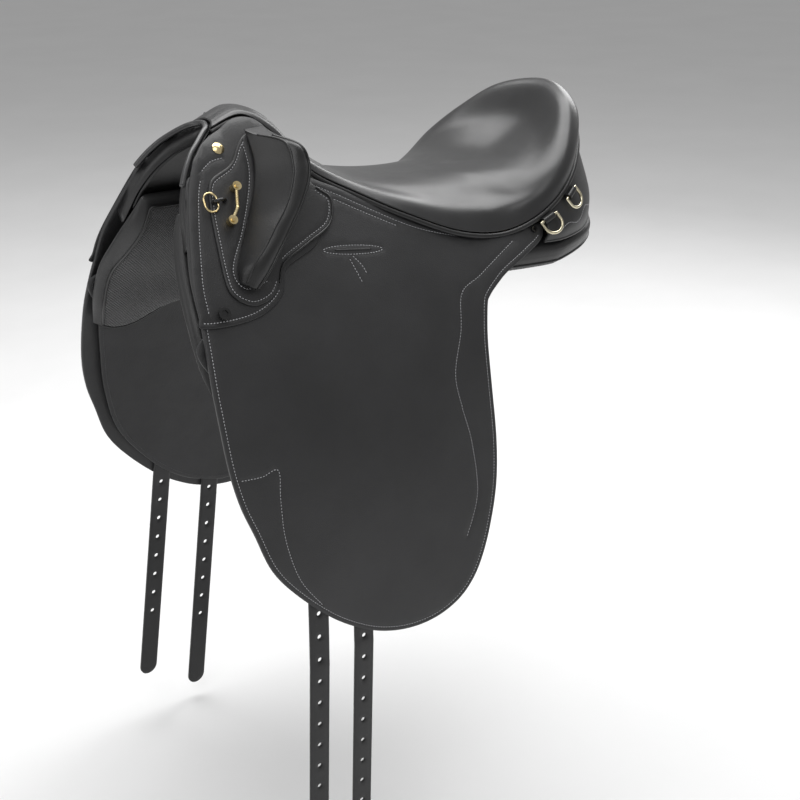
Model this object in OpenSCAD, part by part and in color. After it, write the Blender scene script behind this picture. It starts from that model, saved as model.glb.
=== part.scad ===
// Stock-style english saddle. Millimetres. +X points to the cantle, +Z up, the near side is -Y.
// The origin is on the centreline, level with the horse's back, under the deepest part of the seat.

/* [Seat] */
// Thickness of the seat leather
cover_t = 2.5; // [2:0.5:3]
// Thickness of the seat foam
foam_t = 11; // [8:0.5:12]
// Radius of the seat welt
welt_r = 2.8; // [2:0.2:3]

/* [Flaps] */
// Thickness of the flap leather
flap_t = 4.5; // [3.5:0.25:4.5]
// Height of the line that a flap folds up about
hinge_z = -20; // [-28:1:-15]
// Thickness of the sweat flap leather
sweat_t = 3.5; // [3:0.25:3.5]

/* [Girth straps] */
// Width of a girth strap
strap_w = 22; // [20:1:25]
// Thickness of a girth strap
strap_t = 3.6; // [3:0.2:3.8]
// Distance from hole to hole
hole_pitch = 25; // [24:0.5:26]
// Diameter of a strap hole
hole_d = 5; // [4:0.5:6]

/* [Fittings] */
// Wire diameter of a rear dee
dee_wire = 3.2; // [2.8:0.1:3.4]
// Width of a rear dee inside its bow
dee_w = 18; // [18:0.5:22]
// Wire diameter of a pommel ring
ring_wire = 2; // [1.6:0.1:2.2]
// Running clearance of a pin in its bore, on the radius
pin_gap = 0.05; // [0.03:0.01:0.1]

/* [Hidden] */
$fn = 48;

near = -1;
off = 1;
gap = 0.4; // air between two layers of leather
soft_gap = 1.1; // air between two layers of the seat, or two soft round parts

// ---- curves through a few points ----
function at(list, i) = list[max(0, min(len(list) - 1, i))];
function catmull(p0, p1, p2, p3, t) =
    0.5 * (2 * p1 + (p2 - p0) * t + (2 * p0 - 5 * p1 + 4 * p2 - p3) * t * t
        + (3 * p1 - p0 - 3 * p2 + p3) * t * t * t);
// a point on the smooth line through list, u = 0 at its first point
function spline(list, u) =
    let (i = max(0, min(floor(u), len(list) - 2)))
    catmull(at(list, i - 1), at(list, i), at(list, i + 1), at(list, i + 2), u - i);
function find(list, x, i = 0) =
    i >= len(list) - 2 || x < list[i + 1][0] ? i : find(list, x, i + 1);
function slope(list, i) =
    let (a = at(list, i - 1), b = at(list, i + 1))
    (b[1] - a[1]) / (b[0] - a[0]);
// the smooth value at x in a list of [x, value], rising in x
function curve(list, x) =
    let (i = find(list, x), a = list[i], b = list[i + 1], h = b[0] - a[0],
        t = max(0, min(1, (x - a[0]) / h)))
    a[1] * (1 - 3 * t * t + 2 * t * t * t) + b[1] * (3 * t * t - 2 * t * t * t)
        + slope(list, i) * h * t * (1 - t) * (1 - t) - slope(list, i + 1) * h * t * t * (1 - t);
function mix(a, b, t) = a + (b - a) * t;
function unit(v) = v / norm(v);
function steps(a, b, n) = [for (i = [0:n]) mix(a, b, i / n)];
function swap_y(p) = [p[0], -p[1], p[2]];
function smooth(t) = let (c = max(0, min(1, t))) c * c * (3 - 2 * c);

// ---- closed solids from grids of points ----
function rows_flat(grid) = [for (row = grid) each row];
// triangles that face outward, whichever way round their corners were listed
function facing_out(faces, outward) = outward ? faces : [for (f = faces) [for (k = [len(f) - 1:-1:0]) f[k]]];
// a sheet between two grids of the same size
module slab(top, bottom) {
    n = len(top);
    m = len(top[0]);
    k = n * m;
    a = floor(n / 2) - 1;
    b = floor(m / 2) - 1;
    p = top[a][b];
    outward = cross(top[a + 1][b] - p, top[a][b + 1] - p) * (p - bottom[a][b]) > 0;
    rim = concat([for (j = [0:m - 2]) [j, j + 1]],
        [for (i = [0:n - 2]) [i * m + m - 1, (i + 1) * m + m - 1]],
        [for (j = [m - 1:-1:1]) [(n - 1) * m + j, (n - 1) * m + j - 1]],
        [for (i = [n - 1:-1:1]) [i * m, (i - 1) * m]]);
    polyhedron(points = concat(rows_flat(top), rows_flat(bottom)), faces = facing_out(concat(
        [for (i = [0:n - 2], j = [0:m - 2]) let (a = i * m + j) each
            [[a, a + 1, a + m + 1], [a, a + m + 1, a + m]]],
        [for (i = [0:n - 2], j = [0:m - 2]) let (a = k + i * m + j) each
            [[a, a + m + 1, a + 1], [a, a + m, a + m + 1]]],
        [for (e = rim) each [[e[0], e[0] + k, e[1] + k], [e[0], e[1] + k, e[1]]]]), outward), convexity = 6);
}
// a skin through rings of points, closed by its first and last ring
module skin(rings) {
    n = len(rings);
    m = len(rings[0]);
    c = rings[1];
    k = floor(m / 3);
    outward = cross(c[k] - c[0], c[2 * k] - c[0]) * (rings[2][0] - c[0]) < 0;
    polyhedron(points = rows_flat(rings), faces = facing_out(concat(
        [for (i = [0:n - 2], j = [0:m - 1]) let (a = i * m + j, b = i * m + (j + 1) % m) each
            [[a, b, b + m], [a, b + m, a + m]]],
        [[for (j = [m - 1:-1:0]) j]], [[for (j = [0:m - 1]) (n - 1) * m + j]]), outward), convexity = 6);
}
// a round tube along a path of points
function ring_at(path, i, r, sides) =
    let (d = unit(at(path, i + 1) - at(path, i - 1)), a = unit(cross(d, abs(d[2]) < 0.9 ? [0, 0, 1] : [1, 0, 0])),
        b = cross(d, a))
    [for (k = [0:sides - 1]) path[i] + r * (cos(360 * k / sides) * a + sin(360 * k / sides) * b)];
module tube(path, r, sides = 8) {
    skin([for (i = [0:len(path) - 1]) ring_at(path, i, r, sides)]);
}
module mirrored(side) {
    if (side == near) mirror([0, 1, 0]) children();
    else children();
}

// ---- the outer surface of the saddle's side, half width against height ----
arch = [[0, 174], [13, 172], [21.5, 168], [31, 160], [39.5, 150], [47, 140], [60, 120], [73, 100],
    [86, 80], [99.5, 60]];
arch_n = len(arch);
skirt_step = 20;
skirt_top = arch[arch_n - 1][1] - skirt_step;
function skirt_y(z) = 228 - 92 * exp(z / 175);
section = concat(arch, [for (i = [0:22]) [skirt_y(skirt_top - skirt_step * i), skirt_top - skirt_step * i]]);
arch_u = [for (i = [arch_n - 1:-1:0]) [arch[i][1], i]];
function section_u(z) = z < arch[arch_n - 1][1] ? arch_n - 1 + (arch[arch_n - 1][1] - z) / skirt_step
    : lookup(z, arch_u);
function section_at(u) =
    let (v = abs(u), i = min(floor(v), len(section) - 2),
        p = catmull(i == 0 ? [-section[1][0], section[1][1]] : section[i - 1], section[i], section[i + 1],
            at(section, i + 2), v - i))
    [u < 0 ? -p[0] : p[0], p[1]];
// the pommel rises above the arch behind its front edge
dome = [[-211, 0.99], [-203, 1], [-190, 1.08], [-174, 1.12], [-160, 1.1], [-146, 1], [-118, 0.9], [-92, 1]];
dome_z = 90;
// behind the fold of the flap its rear corner stands further out, over the wider panel
flare = 16;
flare_x = 32;
flare_run = 90;
function raised(x, z) = z <= dome_z ? z : dome_z + (z - dome_z) * curve(dome, x);
// a point of the side at section place u, d outside the surface
function side_u(x, u, d) =
    let (p = section_at(u), a = section_at(u - 0.05), b = section_at(u + 0.05), t = unit(b - a))
    [x, p[0] - d * t[1] + sign(u) * flare * smooth((x - flare_x) / flare_run), raised(x, p[1]) + d * t[0]];
function side(x, z, d) = side_u(x, section_u(z), d);

// front edge of the pommel arch, height against x of the edge
arch_front = [[-20, -285], [0, -282], [50, -275], [88, -266], [110, -261], [130, -252], [150, -237],
    [160, -225], [168, -214], [174, -203]];

// ---- flap outlines: [height, x] ----
flap_front = [[-328, -99], [-324, -126], [-313, -158], [-290, -194], [-255, -231], [-223, -255],
    [-184, -269], [-151, -280], [-112, -286], [-54, -287], [-20, -285]];
flap_rear = [[-328, -89], [-324, -66], [-312, -40], [-293, -19], [-268, -5], [-234, 7], [-198, 16],
    [-156, 21], [-100, 24], [-55, 29], [-20, 38]];
// lower and upper edge of the fixed top of the flap: [x, height]
flap_top_low = [[-285, -21], [0, -21], [38, -20], [44, -13], [56, -3], [70, 7], [97, 22], [123, 36]];
flap_top_high = [[-285, -18], [-279, 50], [-269, 86], [-260, 110], [-249, 132], [-200, 134], [-140, 130],
    [-118, 118], [-92, 103], [-59, 84], [-35, 73], [-6, 61], [32, 47], [70, 41], [95, 47], [123, 50]];
sweat_front = [[-314, -120], [-300, -160], [-270, -200], [-216, -243], [-158, -261], [-104, -268],
    [-52, -273], [10, -268]];
sweat_rear = [[-314, -75], [-300, -42], [-270, -14], [-216, 2], [-158, 10], [-104, 13], [-52, 16], [10, 22]];
// the facing that carries the pommel fittings and the patch under the knee pad: [x, height]
facing_low = [[-283, 8], [-244, 5], [-222, 8], [-205, 19], [-180, 46], [-140, 62], [-124, 84]];
facing_high = [[-283, 20], [-279, 50], [-269, 86], [-260, 110], [-249, 132], [-238, 148], [-218, 162],
    [-203, 165], [-160, 153], [-146, 144], [-124, 122]];
patch_low = [[-247, 45], [-243, 27], [-235, 21], [-226, 18.5], [-214, 19], [-204, 22.5], [-193, 35], [-183, 47],
    [-170, 54], [-151, 61], [-134, 66], [-122, 73], [-111, 86]];
patch_high = [[-247, 58], [-244, 80], [-240, 105], [-236, 120], [-219, 130.5], [-207, 136], [-199, 141], [-188, 152],
    [-170, 153], [-150, 135], [-130, 115], [-111, 96]];

// depth of each layer under the outer face of the flap
facing_t = 2;
facing_d = gap + facing_t;
patch_d = facing_d + gap + facing_t;
strap_d = -flap_t - 2 * gap;
sweat_d = strap_d - strap_t - gap;
panel_d = sweat_d - sweat_t - gap;

// a layer of the side between two heights, in columns along x
module side_columns(low, high, d, t, n, m) {
    x = steps(low[0][0], low[len(low) - 1][0], n);
    function z(a, v) = mix(curve(high, a), max(hinge_z, curve(low, a)), v / m);
    slab([for (a = x) [for (v = [0:m]) side(a, z(a, v), d)]],
        [for (a = x) [for (v = [0:m]) side(a, z(a, v), d - t)]]);
}
// a layer of the side between a front and a rear edge, in rows from z1 down to z0, closer at the foot
module side_rows(front, rear, z0, z1, d, t, n, m) {
    z = [for (i = [0:n]) mix(z1, z0, sin(90 * i / n))];
    slab([for (j = [0:m]) [for (b = z) side(mix(curve(front, b), curve(rear, b), j / m), b, d)]],
        [for (j = [0:m]) [for (b = z) side(mix(curve(front, b), curve(rear, b), j / m), b, d - t)]]);
}

// ---- the seat: stations from the pommel to the back of the cantle ----
// each is [middle x, middle z, welt point, crest point, swell]
stations = [
    [-203, 174, [-209, 19, 170], [-205, 11, 173], 0],
    [-175, 185, [-176, 23, 180], [-175, 14, 184], 1],
    [-146, 174, [-147, 37, 159], [-146, 23, 169], 2],
    [-112, 139, [-118, 54, 124], [-115, 35, 134], 3],
    [-70, 111, [-75, 74, 99], [-72, 48, 108], 3],
    [-25, 100, [-30, 94, 76], [-28, 62, 93], 4],
    [22, 95, [25, 111, 53], [24, 75, 82], 5],
    [55, 95, [75, 119, 46], [72, 85, 78], 6],
    [68, 96, [115, 127, 58], [106, 108, 82], 6],
    [75, 97, [150, 125, 80], [143, 115, 106], 6],
    [81, 98, [184, 105, 106], [173, 94, 135], 7],
    [85, 98, [218, 62, 134], [199, 58, 162], 9],
    [87, 98, [237, 0, 148], [215, 0, 173], 9]];
stations_n = len(stations) - 1;
dish_power = 3;
function station(i) = i > stations_n
    ? let (s = stations[2 * stations_n - i]) [s[0], s[1], swap_y(s[2]), swap_y(s[3]), s[4]]
    : i < 0 ? stations[0] : stations[i];
function mix_station(u) =
    let (i = max(0, min(floor(u), 2 * stations_n - 1)), a = station(i - 1), b = station(i), c = station(i + 1),
        d = station(min(i + 2, 2 * stations_n)))
    [for (k = [0:4]) catmull(a[k], b[k], c[k], d[k], u - i)];
// control points of the seat across one station, from the middle to the welt
function seat_line(u) =
    let (s = mix_station(u), m = [s[0], 0, s[1]], w = s[2], c = s[3], out = unit([w[0] - m[0], w[1], 0]),
        q = [for (f = [0.25, 0.5, 0.78]) [mix(m[0], c[0], f), mix(m[1], c[1], f),
            mix(m[2], c[2], pow(f, dish_power))]])
    [m, q[0], q[1], q[2], c, mix(c, w, 0.5) + s[4] * (out + [0, 0, 0.8]), w];
function seat_on(line, t) = spline(line, t * (len(line) - 1));
// a point of the seat at station u, t = 0 in the middle and 1 at the welt, d outside the surface
function seat_pt(u, t, d) =
    let (h = 0.02, line = seat_line(u), p = seat_on(line, t))
    d == 0 ? p : let (
        v = max(t, h),
        q = seat_on(line, v),
        a = u < stations_n ? seat_on(seat_line(u + h), v) - q : q - seat_on(seat_line(u - h), v),
        b = v < 0.5 ? seat_on(line, v + h) - q : q - seat_on(line, v - h),
        n = unit(cross(a, b)))
    p + d * (t == 0 ? unit([n[0], 0, n[2]]) : n);

// the seat's whole width as one sheet, from d down to d - t, from a station to the cantle and m rows to each side
seat_m = 9;
seat_start = 2; // the foam and what is under it begin behind the tree's head
module seat_layer(d, t, start, m) {
    n = (stations_n - start) * 2;
    tmax = m / seat_m;
    u = steps(start, stations_n, n);
    w = 2 * m + 1;
    last = n * w;
    count = last + m + 1;
    function grid(e) = concat(
        [for (i = [0:n - 1], j = [-m:m]) let (p = seat_pt(u[i], tmax * abs(j) / m, e)) j < 0 ? swap_y(p) : p],
        [for (j = [0:m]) let (p = seat_pt(stations_n, tmax * j / m, e)) [p[0], 0, p[2]]]);
    function id(i, j) = i < n ? i * w + j + m : last + abs(j);
    quads = [for (i = [0:n - 1], j = [-m:m - 1]) [id(i, j), id(i, j + 1), id(i + 1, j + 1), id(i + 1, j)]];
    rim = concat([for (j = [m:-1:1 - m]) [id(0, j), id(0, j - 1)]],
        [for (i = [0:n - 1]) [id(i, -m), id(i + 1, -m)]],
        [for (i = [n:-1:1]) [id(i, m), id(i - 1, m)]]);
    polyhedron(points = concat(grid(d), grid(d - t)), faces = concat(
        [for (q = quads) each [[q[0], q[1], q[2]], [q[0], q[2], q[3]]]],
        [for (q = quads) each [[q[0] + count, q[2] + count, q[1] + count],
            [q[0] + count, q[3] + count, q[2] + count]]],
        [for (e = rim) each [[e[0], e[1] + count, e[0] + count], [e[0], e[1], e[1] + count]]]), convexity = 8);
}
// a band of the seat's surface from station a round the cantle to the other side, t0 to t1 across
module seat_band(a, t0, t1, d, t, n, m) {
    u = steps(a, 2 * stations_n - a, n);
    function pt(v, f, e) = v <= stations_n ? seat_pt(v, f, e) : swap_y(seat_pt(2 * stations_n - v, f, e));
    slab([for (v = u) [for (f = steps(t0, t1, m)) pt(v, f, d)]],
        [for (v = u) [for (f = steps(t0, t1, m)) pt(v, f, d - t)]]);
}

// ---- the leather at the back, from the welt down to the panel: stations 8 to 12 and round ----
back_a = 8;
back_start = 8.32;
back_foot = [[114, 132, 30], [150, 133, 30], [194, 113, 32], [234, 69, 37], [254, 0, 41], [234, -69, 37]];
back_swell = 6;
function back_line(u) =
    let (w = seat_pt(u, 1, 0), top = w + [-2, -2 * sign(w[1]), -6], foot = spline(back_foot, u - back_a),
        out = unit([foot[0] - 90, foot[1], 0]))
    [top, mix(top, foot, 0.35) + back_swell * 0.7 * out, mix(top, foot, 0.7) + back_swell * out, foot];
function back_on(u, v) = spline(back_line(u), 3 * v);
function back_normal(u, v) =
    let (h = 0.03, p = back_on(u, v), q = v < 0.5 ? back_on(u, v + h) - p : p - back_on(u, v - h))
    unit(cross(back_on(u - h, v) - p, q) * -1);
function back_pt(u, v, d) = back_on(u, v) + d * back_normal(u, v);

// ---- a panel: lines across one side from the channel to the hem, outer and horse side ----
channel_y = 36;
panel_tail = [[20, 108], [60, 115], [90, 123], [120, 128], [150, 129], [190, 116], [218, 96], [238, 71],
    [250, 50], [256, 40]];
panel_nose = [-260, -271, -280, -286, -286, -280];
panel_hem = [[-287, -52], [-280, -60], [-260, -70], [-236, -69], [-212, -57], [-190, -47], [-150, -42]];
panel_end_x = 256;
panel_width = 130 - channel_y;
function front_out(x) = [for (p = [[112, -25], [88, -25], [58, -22], [20, -15], [-25, panel_d],
    [curve(panel_hem, x), panel_d]]) side(x, p[0], p[1])];
function front_in(x) = [for (p = [[110, -36], [86, -50], [54, -52], [18, -46], [-25, -40],
    [curve(panel_hem, x) + 2, -20]]) side(x, p[0], p[1])];
function mid_out(x) = [[x, channel_y, 44], [x, 70, 44], [x, 94, 36], side(x, 12, panel_d),
    side(x, -14, panel_d), side(x, -40, panel_d)];
function mid_in(x) = [[x, channel_y - 2, 12], [x, 58, 0], [x, 80, -10], side(x, 0, -42), side(x, -20, -40),
    side(x, -41, -19)];
function tail_y(x, y) = channel_y + (y - channel_y) * (curve(panel_tail, x) - channel_y) / panel_width;
tail_rise = [[150, 0], [256, 15]]; // the panel's underside curves up to the rear
tail_drop = [[60, 0], [150, 9], [195, 9], [234, 14]]; // and its top is lower there
function rear_out(x) = [for (p = [[36, 48, 0], [75, 49, 0], [103, 44, 0.1], [120, 34, 0.4], [129, 21, 0.8],
    [127, 9, 1]]) [x, tail_y(x, p[0]), p[1] + mix(-curve(tail_drop, x), curve(tail_rise, x), p[2])]];
function rear_in(x) = [for (p = [[36, 12], [58, 0], [83, -5], [103, -5], [116, -2], [124, 4]])
    [x, tail_y(x, p[0]), p[1] + curve(tail_rise, x)]];
function panel_mix(x, front, mid, rear) =
    mix(mix(front, mid, smooth((x + 200) / 90)), rear, smooth((x + 45) / 75));
function panel_x(a, v) = mix(spline(panel_nose, 5 * v), panel_end_x, a);
function panel_out(x, v) = spline(panel_mix(x, front_out(x), mid_out(x), rear_out(x)), 5 * v);
nose_length = 30;
function panel_in(x, v) =
    mix(panel_out(x, v), spline(panel_mix(x, front_in(x), mid_in(x), rear_in(x)), 5 * v),
        0.4 + 0.6 * smooth((x - panel_nose[3]) / nose_length));
panel_columns = [0, 0.015, 0.04, 0.08, 0.13, 0.19, 0.26, 0.34, 0.43, 0.52, 0.6, 0.68, 0.76, 0.83, 0.89, 0.93,
    0.96, 0.985, 1];

// ---- local frames for fittings: Z outward, X to the rear ----
module on_side(x, z, d) {
    s = section_u(z);
    t = unit(section_at(s + 0.05) - section_at(s - 0.05));
    translate(side(x, z, d)) rotate([-atan2(-t[1], t[0]), 0, 0]) children();
}
module on_back(u, v, d) {
    z = back_normal(u, v);
    q = unit(back_on(u + 0.05, v) - back_on(u - 0.05, v));
    y = unit(cross(z, q));
    x = cross(y, z);
    o = back_on(u, v) + d * z;
    multmatrix([[x[0], y[0], z[0], o[0]], [x[1], y[1], z[1], o[1]], [x[2], y[2], z[2], o[2]], [0, 0, 0, 1]])
        children();
}
// a round rod from p to q
module rod(p, q, r) {
    v = q - p;
    translate(p) rotate([0, acos(v[2] / norm(v)), atan2(v[1], v[0])]) cylinder(r = r, h = norm(v));
}

// ---- tree ----
head_d = -5;
head_t = 11;
plate_d = head_d - head_t - gap;
plate_t = 2.4;
lining_d = plate_d - plate_t - gap;
lining_t = 3;
function arch_x(u) = curve(arch_front, section_at(abs(u))[1]);
head_end = 47; // how far the head reaches behind the arch's front edge
arch_columns = [0.2, 2, 4, 8, 16, 28, 40, head_end];
// a layer of the arch, between two distances behind its front edge
module arch_layer(d, t, reach, x0, x1) {
    u = steps(-reach, reach, 4 * reach);
    a = [for (c = arch_columns) if (c >= x0 && c <= x1) c];
    slab([for (v = u) [for (c = a) side_u(arch_x(v) + c, v, d)]],
        [for (v = u) [for (c = a) side_u(arch_x(v) + c, v, d - t)]]);
}
module tree_head() {
    color("#5c4a3a") arch_layer(head_d, head_t, 8.5, 4, head_end);
}
module gullet_plate() {
    color("#7d8086") arch_layer(plate_d, plate_t, 7.5, 8, 40);
}
rivet_r = 2.6;
module tree_rivets() {
    color("#9a9da3") for (side_y = [near, off], u = [3.5, 6.5]) {
        mirrored(side_y) rod(side_u(arch_x(u) + 24, u, plate_d - plate_t + gap),
            side_u(arch_x(u) + 24, u, head_d), rivet_r);
    }
}
foam_d = -cover_t - gap;
strainer_d = foam_d - foam_t - soft_gap;
strainer_t = 1.5;
webbing_d = strainer_d - strainer_t - soft_gap;
webbing_t = 1.6;
frame_d = webbing_d - webbing_t - gap;
frame_t = 9;
module tree_frame() {
    color("#6b5644") seat_band(3.4, 0.36, 0.6, frame_d, frame_t, 40, 3);
}
module seat_webbing() {
    color("#c9bfa4") for (side_y = [near, off]) mirrored(side_y) slab(
        [for (u = steps(2.6, 8, 10)) [for (f = [0.1, 0.3]) seat_pt(u, f, webbing_d)]],
        [for (u = steps(2.6, 8, 10)) [for (f = [0.1, 0.3]) seat_pt(u, f, webbing_d - webbing_t)]]);
}
module seat_strainer() {
    color("#b8ad90") seat_layer(strainer_d, strainer_t, seat_start, 6);
}
module seat_foam() {
    color("#3c3c3e") seat_layer(foam_d, foam_t, seat_start, 7);
}
module seat_cover() {
    color("#2a2a2d") seat_layer(0, cover_t, 0, seat_m);
}
module seat_welt() {
    function under(u) = let (p = seat_pt(u, 1, 0), q = seat_pt(u, 1, -cover_t))
        [p[0], p[1], min(p[2], q[2]) - welt_r - gap];
    color("#141416") tube([for (u = steps(0, 2 * stations_n, 4 * stations_n))
        u <= stations_n ? under(u) : swap_y(under(2 * stations_n - u))], welt_r, 6);
}

// ---- pommel arch ----
module pommel_lining() {
    color("#202022") arch_layer(lining_d, lining_t, 7, 4, head_end);
}
face_d = -flap_t - gap;
face_h = 16.5;
module gullet_face() {
    color("#1b1b1d") arch_layer(face_d, face_h, 7.5, 0.2, 2);
}
piping_r = 3;
piping_reach = 5.7; // how far down the arch the piping goes
module arch_piping() {
    color("#26262a") tube([for (u = steps(-piping_reach, piping_reach, 24)) side_u(arch_x(u) - piping_r - soft_gap, u, -piping_r)],
        piping_r, 6);
}
module cantle_facing() {
    u = steps(back_start, 2 * stations_n - back_start, 24);
    function pt(s, v, d) = s <= stations_n ? back_pt(s, v, d) : swap_y(back_pt(2 * stations_n - s, v, d));
    color("#2b2b2e") slab([for (s = u) [for (v = [0:4]) pt(s, v / 4, 0)]],
        [for (s = u) [for (v = [0:4]) pt(s, v / 4, -2.5)]]);
}

// ---- pommel fittings, standing on the knee patch or the facing ----
patch_top = patch_d;
stud_x = -212;
stud_z = 152;
stud_r = 6.2;
module pommel_studs() {
    color("#d8c078") for (side_y = [near, off]) mirrored(side_y) on_side(stud_x, stud_z, facing_d + gap)
        intersection() {
            cylinder(r = stud_r, h = 3);
            translate([0, 0, -7]) sphere(r = 9.5);
        }
}
staple_x = -230;
staple_z = 107;
ring_x = -232.2;
staple_wire = 1.6;
staple_r = 6;
ring_in_w = 11.5;
ring_in_h = 17;
// a half loop standing on the leather, with two feet
module ring_staples() {
    color("#17171a") for (side_y = [near, off]) mirrored(side_y) on_side(staple_x, staple_z, patch_top + gap) {
        rotate([90, 0, 0]) rotate_extrude(angle = 180) translate([staple_r, 0]) circle(r = staple_wire);
        for (k = [-1, 1]) translate([k * staple_r, 0, 0]) cylinder(r = 2.4, h = 1.2);
    }
}
// an oval ring that passes under the staple's loop
module pommel_ring(side_y) {
    r = ring_wire / 2;
    lift = patch_top + gap + ring_wire / 2 + 0.3;
    color("#d2b668") mirrored(side_y) on_side(ring_x, staple_z, lift) translate([-ring_in_w / 2 - r, 0, 0]) {
        for (k = [-1, 1]) {
            translate([0, k * (ring_in_h - ring_in_w) / 2, 0]) rotate([0, 0, k > 0 ? 0 : 180])
                rotate_extrude(angle = 180) translate([ring_in_w / 2 + r, 0]) circle(r = r);
            translate([k * (ring_in_w / 2 + r), (ring_in_h - ring_in_w) / 2, 0]) rotate([90, 0, 0])
                cylinder(r = r, h = ring_in_h - ring_in_w);
        }
    }
}
loop_top = [-210.5, 116];
loop_foot = [-225, 88.5];
loop_lift = 6;
loop_wire = 1.8;
knob_r = 4.6;
knob_h = 8.2;
module footmans_loops() {
    top = side(loop_top[0], loop_top[1], patch_top + gap + loop_lift);
    foot = side(loop_foot[0], loop_foot[1], patch_top + gap + loop_lift);
    kink = side(-216.5, 98, patch_top + gap + loop_lift + 1);
    color("#d6ba6a") for (side_y = [near, off]) mirrored(side_y) {
        rod(top, kink, loop_wire);
        rod(kink, foot, loop_wire);
        translate(kink) sphere(r = loop_wire + 0.3);
        for (p = [loop_top, loop_foot]) on_side(p[0], p[1], patch_top + gap) cylinder(r = knob_r, h = knob_h);
    }
}
module loop_screws() {
    color("#b79c55") for (side_y = [near, off], p = [loop_top, loop_foot]) mirrored(side_y)
        on_side(p[0], p[1], patch_top + gap + knob_h + 0.05) difference() {
            cylinder(r = 2.4, h = 1.5);
            translate([-3, -0.35, 0.9]) cube([6, 0.7, 1]);
        }
}
screw_r = 6;
flap_screw = [-259.5, 16];
rear_screw = [112, 43];
module flap_screws() {
    color("#111113") for (side_y = [near, off], p = [flap_screw, rear_screw]) mirrored(side_y)
        on_side(p[0], p[1], p == flap_screw ? patch_top + gap : gap) difference() {
            cylinder(r = p == flap_screw ? screw_r : 3.4, h = 2.6);
            translate([0, 0, 1.5]) cylinder(r = p == flap_screw ? 3.6 : 2, h = 2, $fn = 6);
        }
}

// ---- stirrup bars, under the top of the flap ----
bar_y = 82;
bar_z = 52;
bar_x0 = -122;
bar_x1 = -66;
bar_r = 4;
bar_h = 8.5; // height of the bar's plate, and how much of it is below the bar's middle
bar_drop = 3.4;
catch_x = -58;
catch_pin_r = 2;
module stirrup_bar(side_y) {
    color("#8d9096") mirrored(side_y) {
        union() {
            translate([bar_x0, bar_y, bar_z]) rotate([0, 90, 0]) cylinder(r = bar_r, h = bar_x1 - bar_x0);
            translate([bar_x0 - 6, bar_y - 12, bar_z - bar_drop]) cube([8, 15, bar_h]);
            translate([catch_x - 6, bar_y - 12.5, bar_z - bar_drop]) cube([12, 6, bar_h]);
            translate([bar_x0 - 6, bar_y - 15, bar_z - bar_drop]) cube([catch_x - bar_x0 + 12, 3, bar_h]);
            translate([catch_x, bar_y - 8, bar_z]) rotate([-90, 0, 0]) cylinder(r = catch_pin_r, h = 11);
        }
    }
}
catch_w = 5;
module bar_catch(side_y) {
    color("#9fa2a8") mirrored(side_y) translate([catch_x, bar_y - 3, bar_z]) rotate([-90, 0, 0]) difference() {
        union() {
            cylinder(r = 4.6, h = catch_w);
            translate([0, -3, 0]) cube([17, 6, catch_w]);
            translate([17, 0, 0]) cylinder(r = 3, h = catch_w);
        }
        translate([0, 0, -1]) cylinder(r = catch_pin_r + pin_gap, h = catch_w + 2);
    }
}

// ---- side leathers ----
module facing(side_y) {
    color("#29292c") mirrored(side_y) side_columns(facing_low, facing_high, facing_d, facing_t, 18, 5);
}
module knee_patch(side_y) {
    color("#303034") mirrored(side_y) side_columns(patch_low, patch_high, patch_d, facing_t, 16, 5);
}
module flap_top(side_y) {
    color("#2e2e31") mirrored(side_y) side_columns(flap_top_low, flap_top_high, 0, flap_t, 30, 6);
}
module flap(side_y) {
    color("#343438") mirrored(side_y)
        side_rows(flap_front, flap_rear, hinge_z - 0.5, flap_front[0][0], 0, flap_t, 22, 8);
}
module sweat_flap(side_y) {
    color("#2a2a2c") mirrored(side_y) side_rows(sweat_front, sweat_rear, 10, sweat_front[0][0], sweat_d,
        sweat_t, 18, 6);
}

// ---- knee pads: [x, height] of the front edge and the rear edge on the saddle, ridge and back points ----
pad_d = patch_top + 2 * soft_gap;
pad_rings = [
    [[-183, 156], [-162, 157], [-178, 56, 165], [-164, 60, 164]],
    [[-184, 147], [-148, 148], [-164, 85, 162], [-150, 89, 158]],
    [[-185, 131], [-141, 132], [-163, 99, 144], [-145, 97, 143]],
    [[-192, 114], [-147, 115], [-170, 109, 126], [-149, 104, 127]],
    [[-206, 92], [-164, 97], [-182, 117, 108], [-163, 114, 108]],
    [[-218, 75], [-181, 78], [-199, 125, 91], [-179, 122, 90]],
    [[-228, 60], [-197, 61], [-213, 131, 76], [-196, 130, 72]],
    [[-234, 49], [-211, 47], [-226, 132, 61], [-212, 133, 51]],
    [[-235, 38], [-222, 35], [-232, 128, 43], [-223, 131, 37]]];
// one ring: front edge, ridge, back edge and the base between them
function pad_corners(k) =
    let (a = side(k[0][0], k[0][1], pad_d), b = side(k[1][0], k[1][1], pad_d), r = k[2], g = k[3],
        out = unit(r + g - a - b))
    [a, mix(a, r, 0.5), r, mix(r, g, 0.5) + 3 * out, g, mix(g, b, 0.5), b,
        side((k[0][0] + k[1][0]) / 2, (k[0][1] + k[1][1]) / 2, pad_d)];
function pad_mix(u) =
    let (i = min(floor(u), len(pad_rings) - 2), c = [for (j = [-1:2]) pad_corners(at(pad_rings, i + j))])
    [for (k = [0:7]) catmull(c[0][k], c[1][k], c[2][k], c[3][k], u - i)];
module knee_pad(side_y) {
    color("#232326") mirrored(side_y) skin([for (u = steps(0, len(pad_rings) - 1, 16))
        let (c = pad_mix(u)) [for (j = [0:14]) spline(c, j / 2)]]);
}
module knee_pad_welt(side_y) {
    r = 1.6;
    color("#1a1a1c") mirrored(side_y) tube([for (u = steps(0.4, len(pad_rings) - 1.3, 20))
        let (c = pad_mix(u), out = unit(c[2] + c[4] - c[0] - c[6])) c[3] + (r + gap) * out], r, 6);
}

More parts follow.
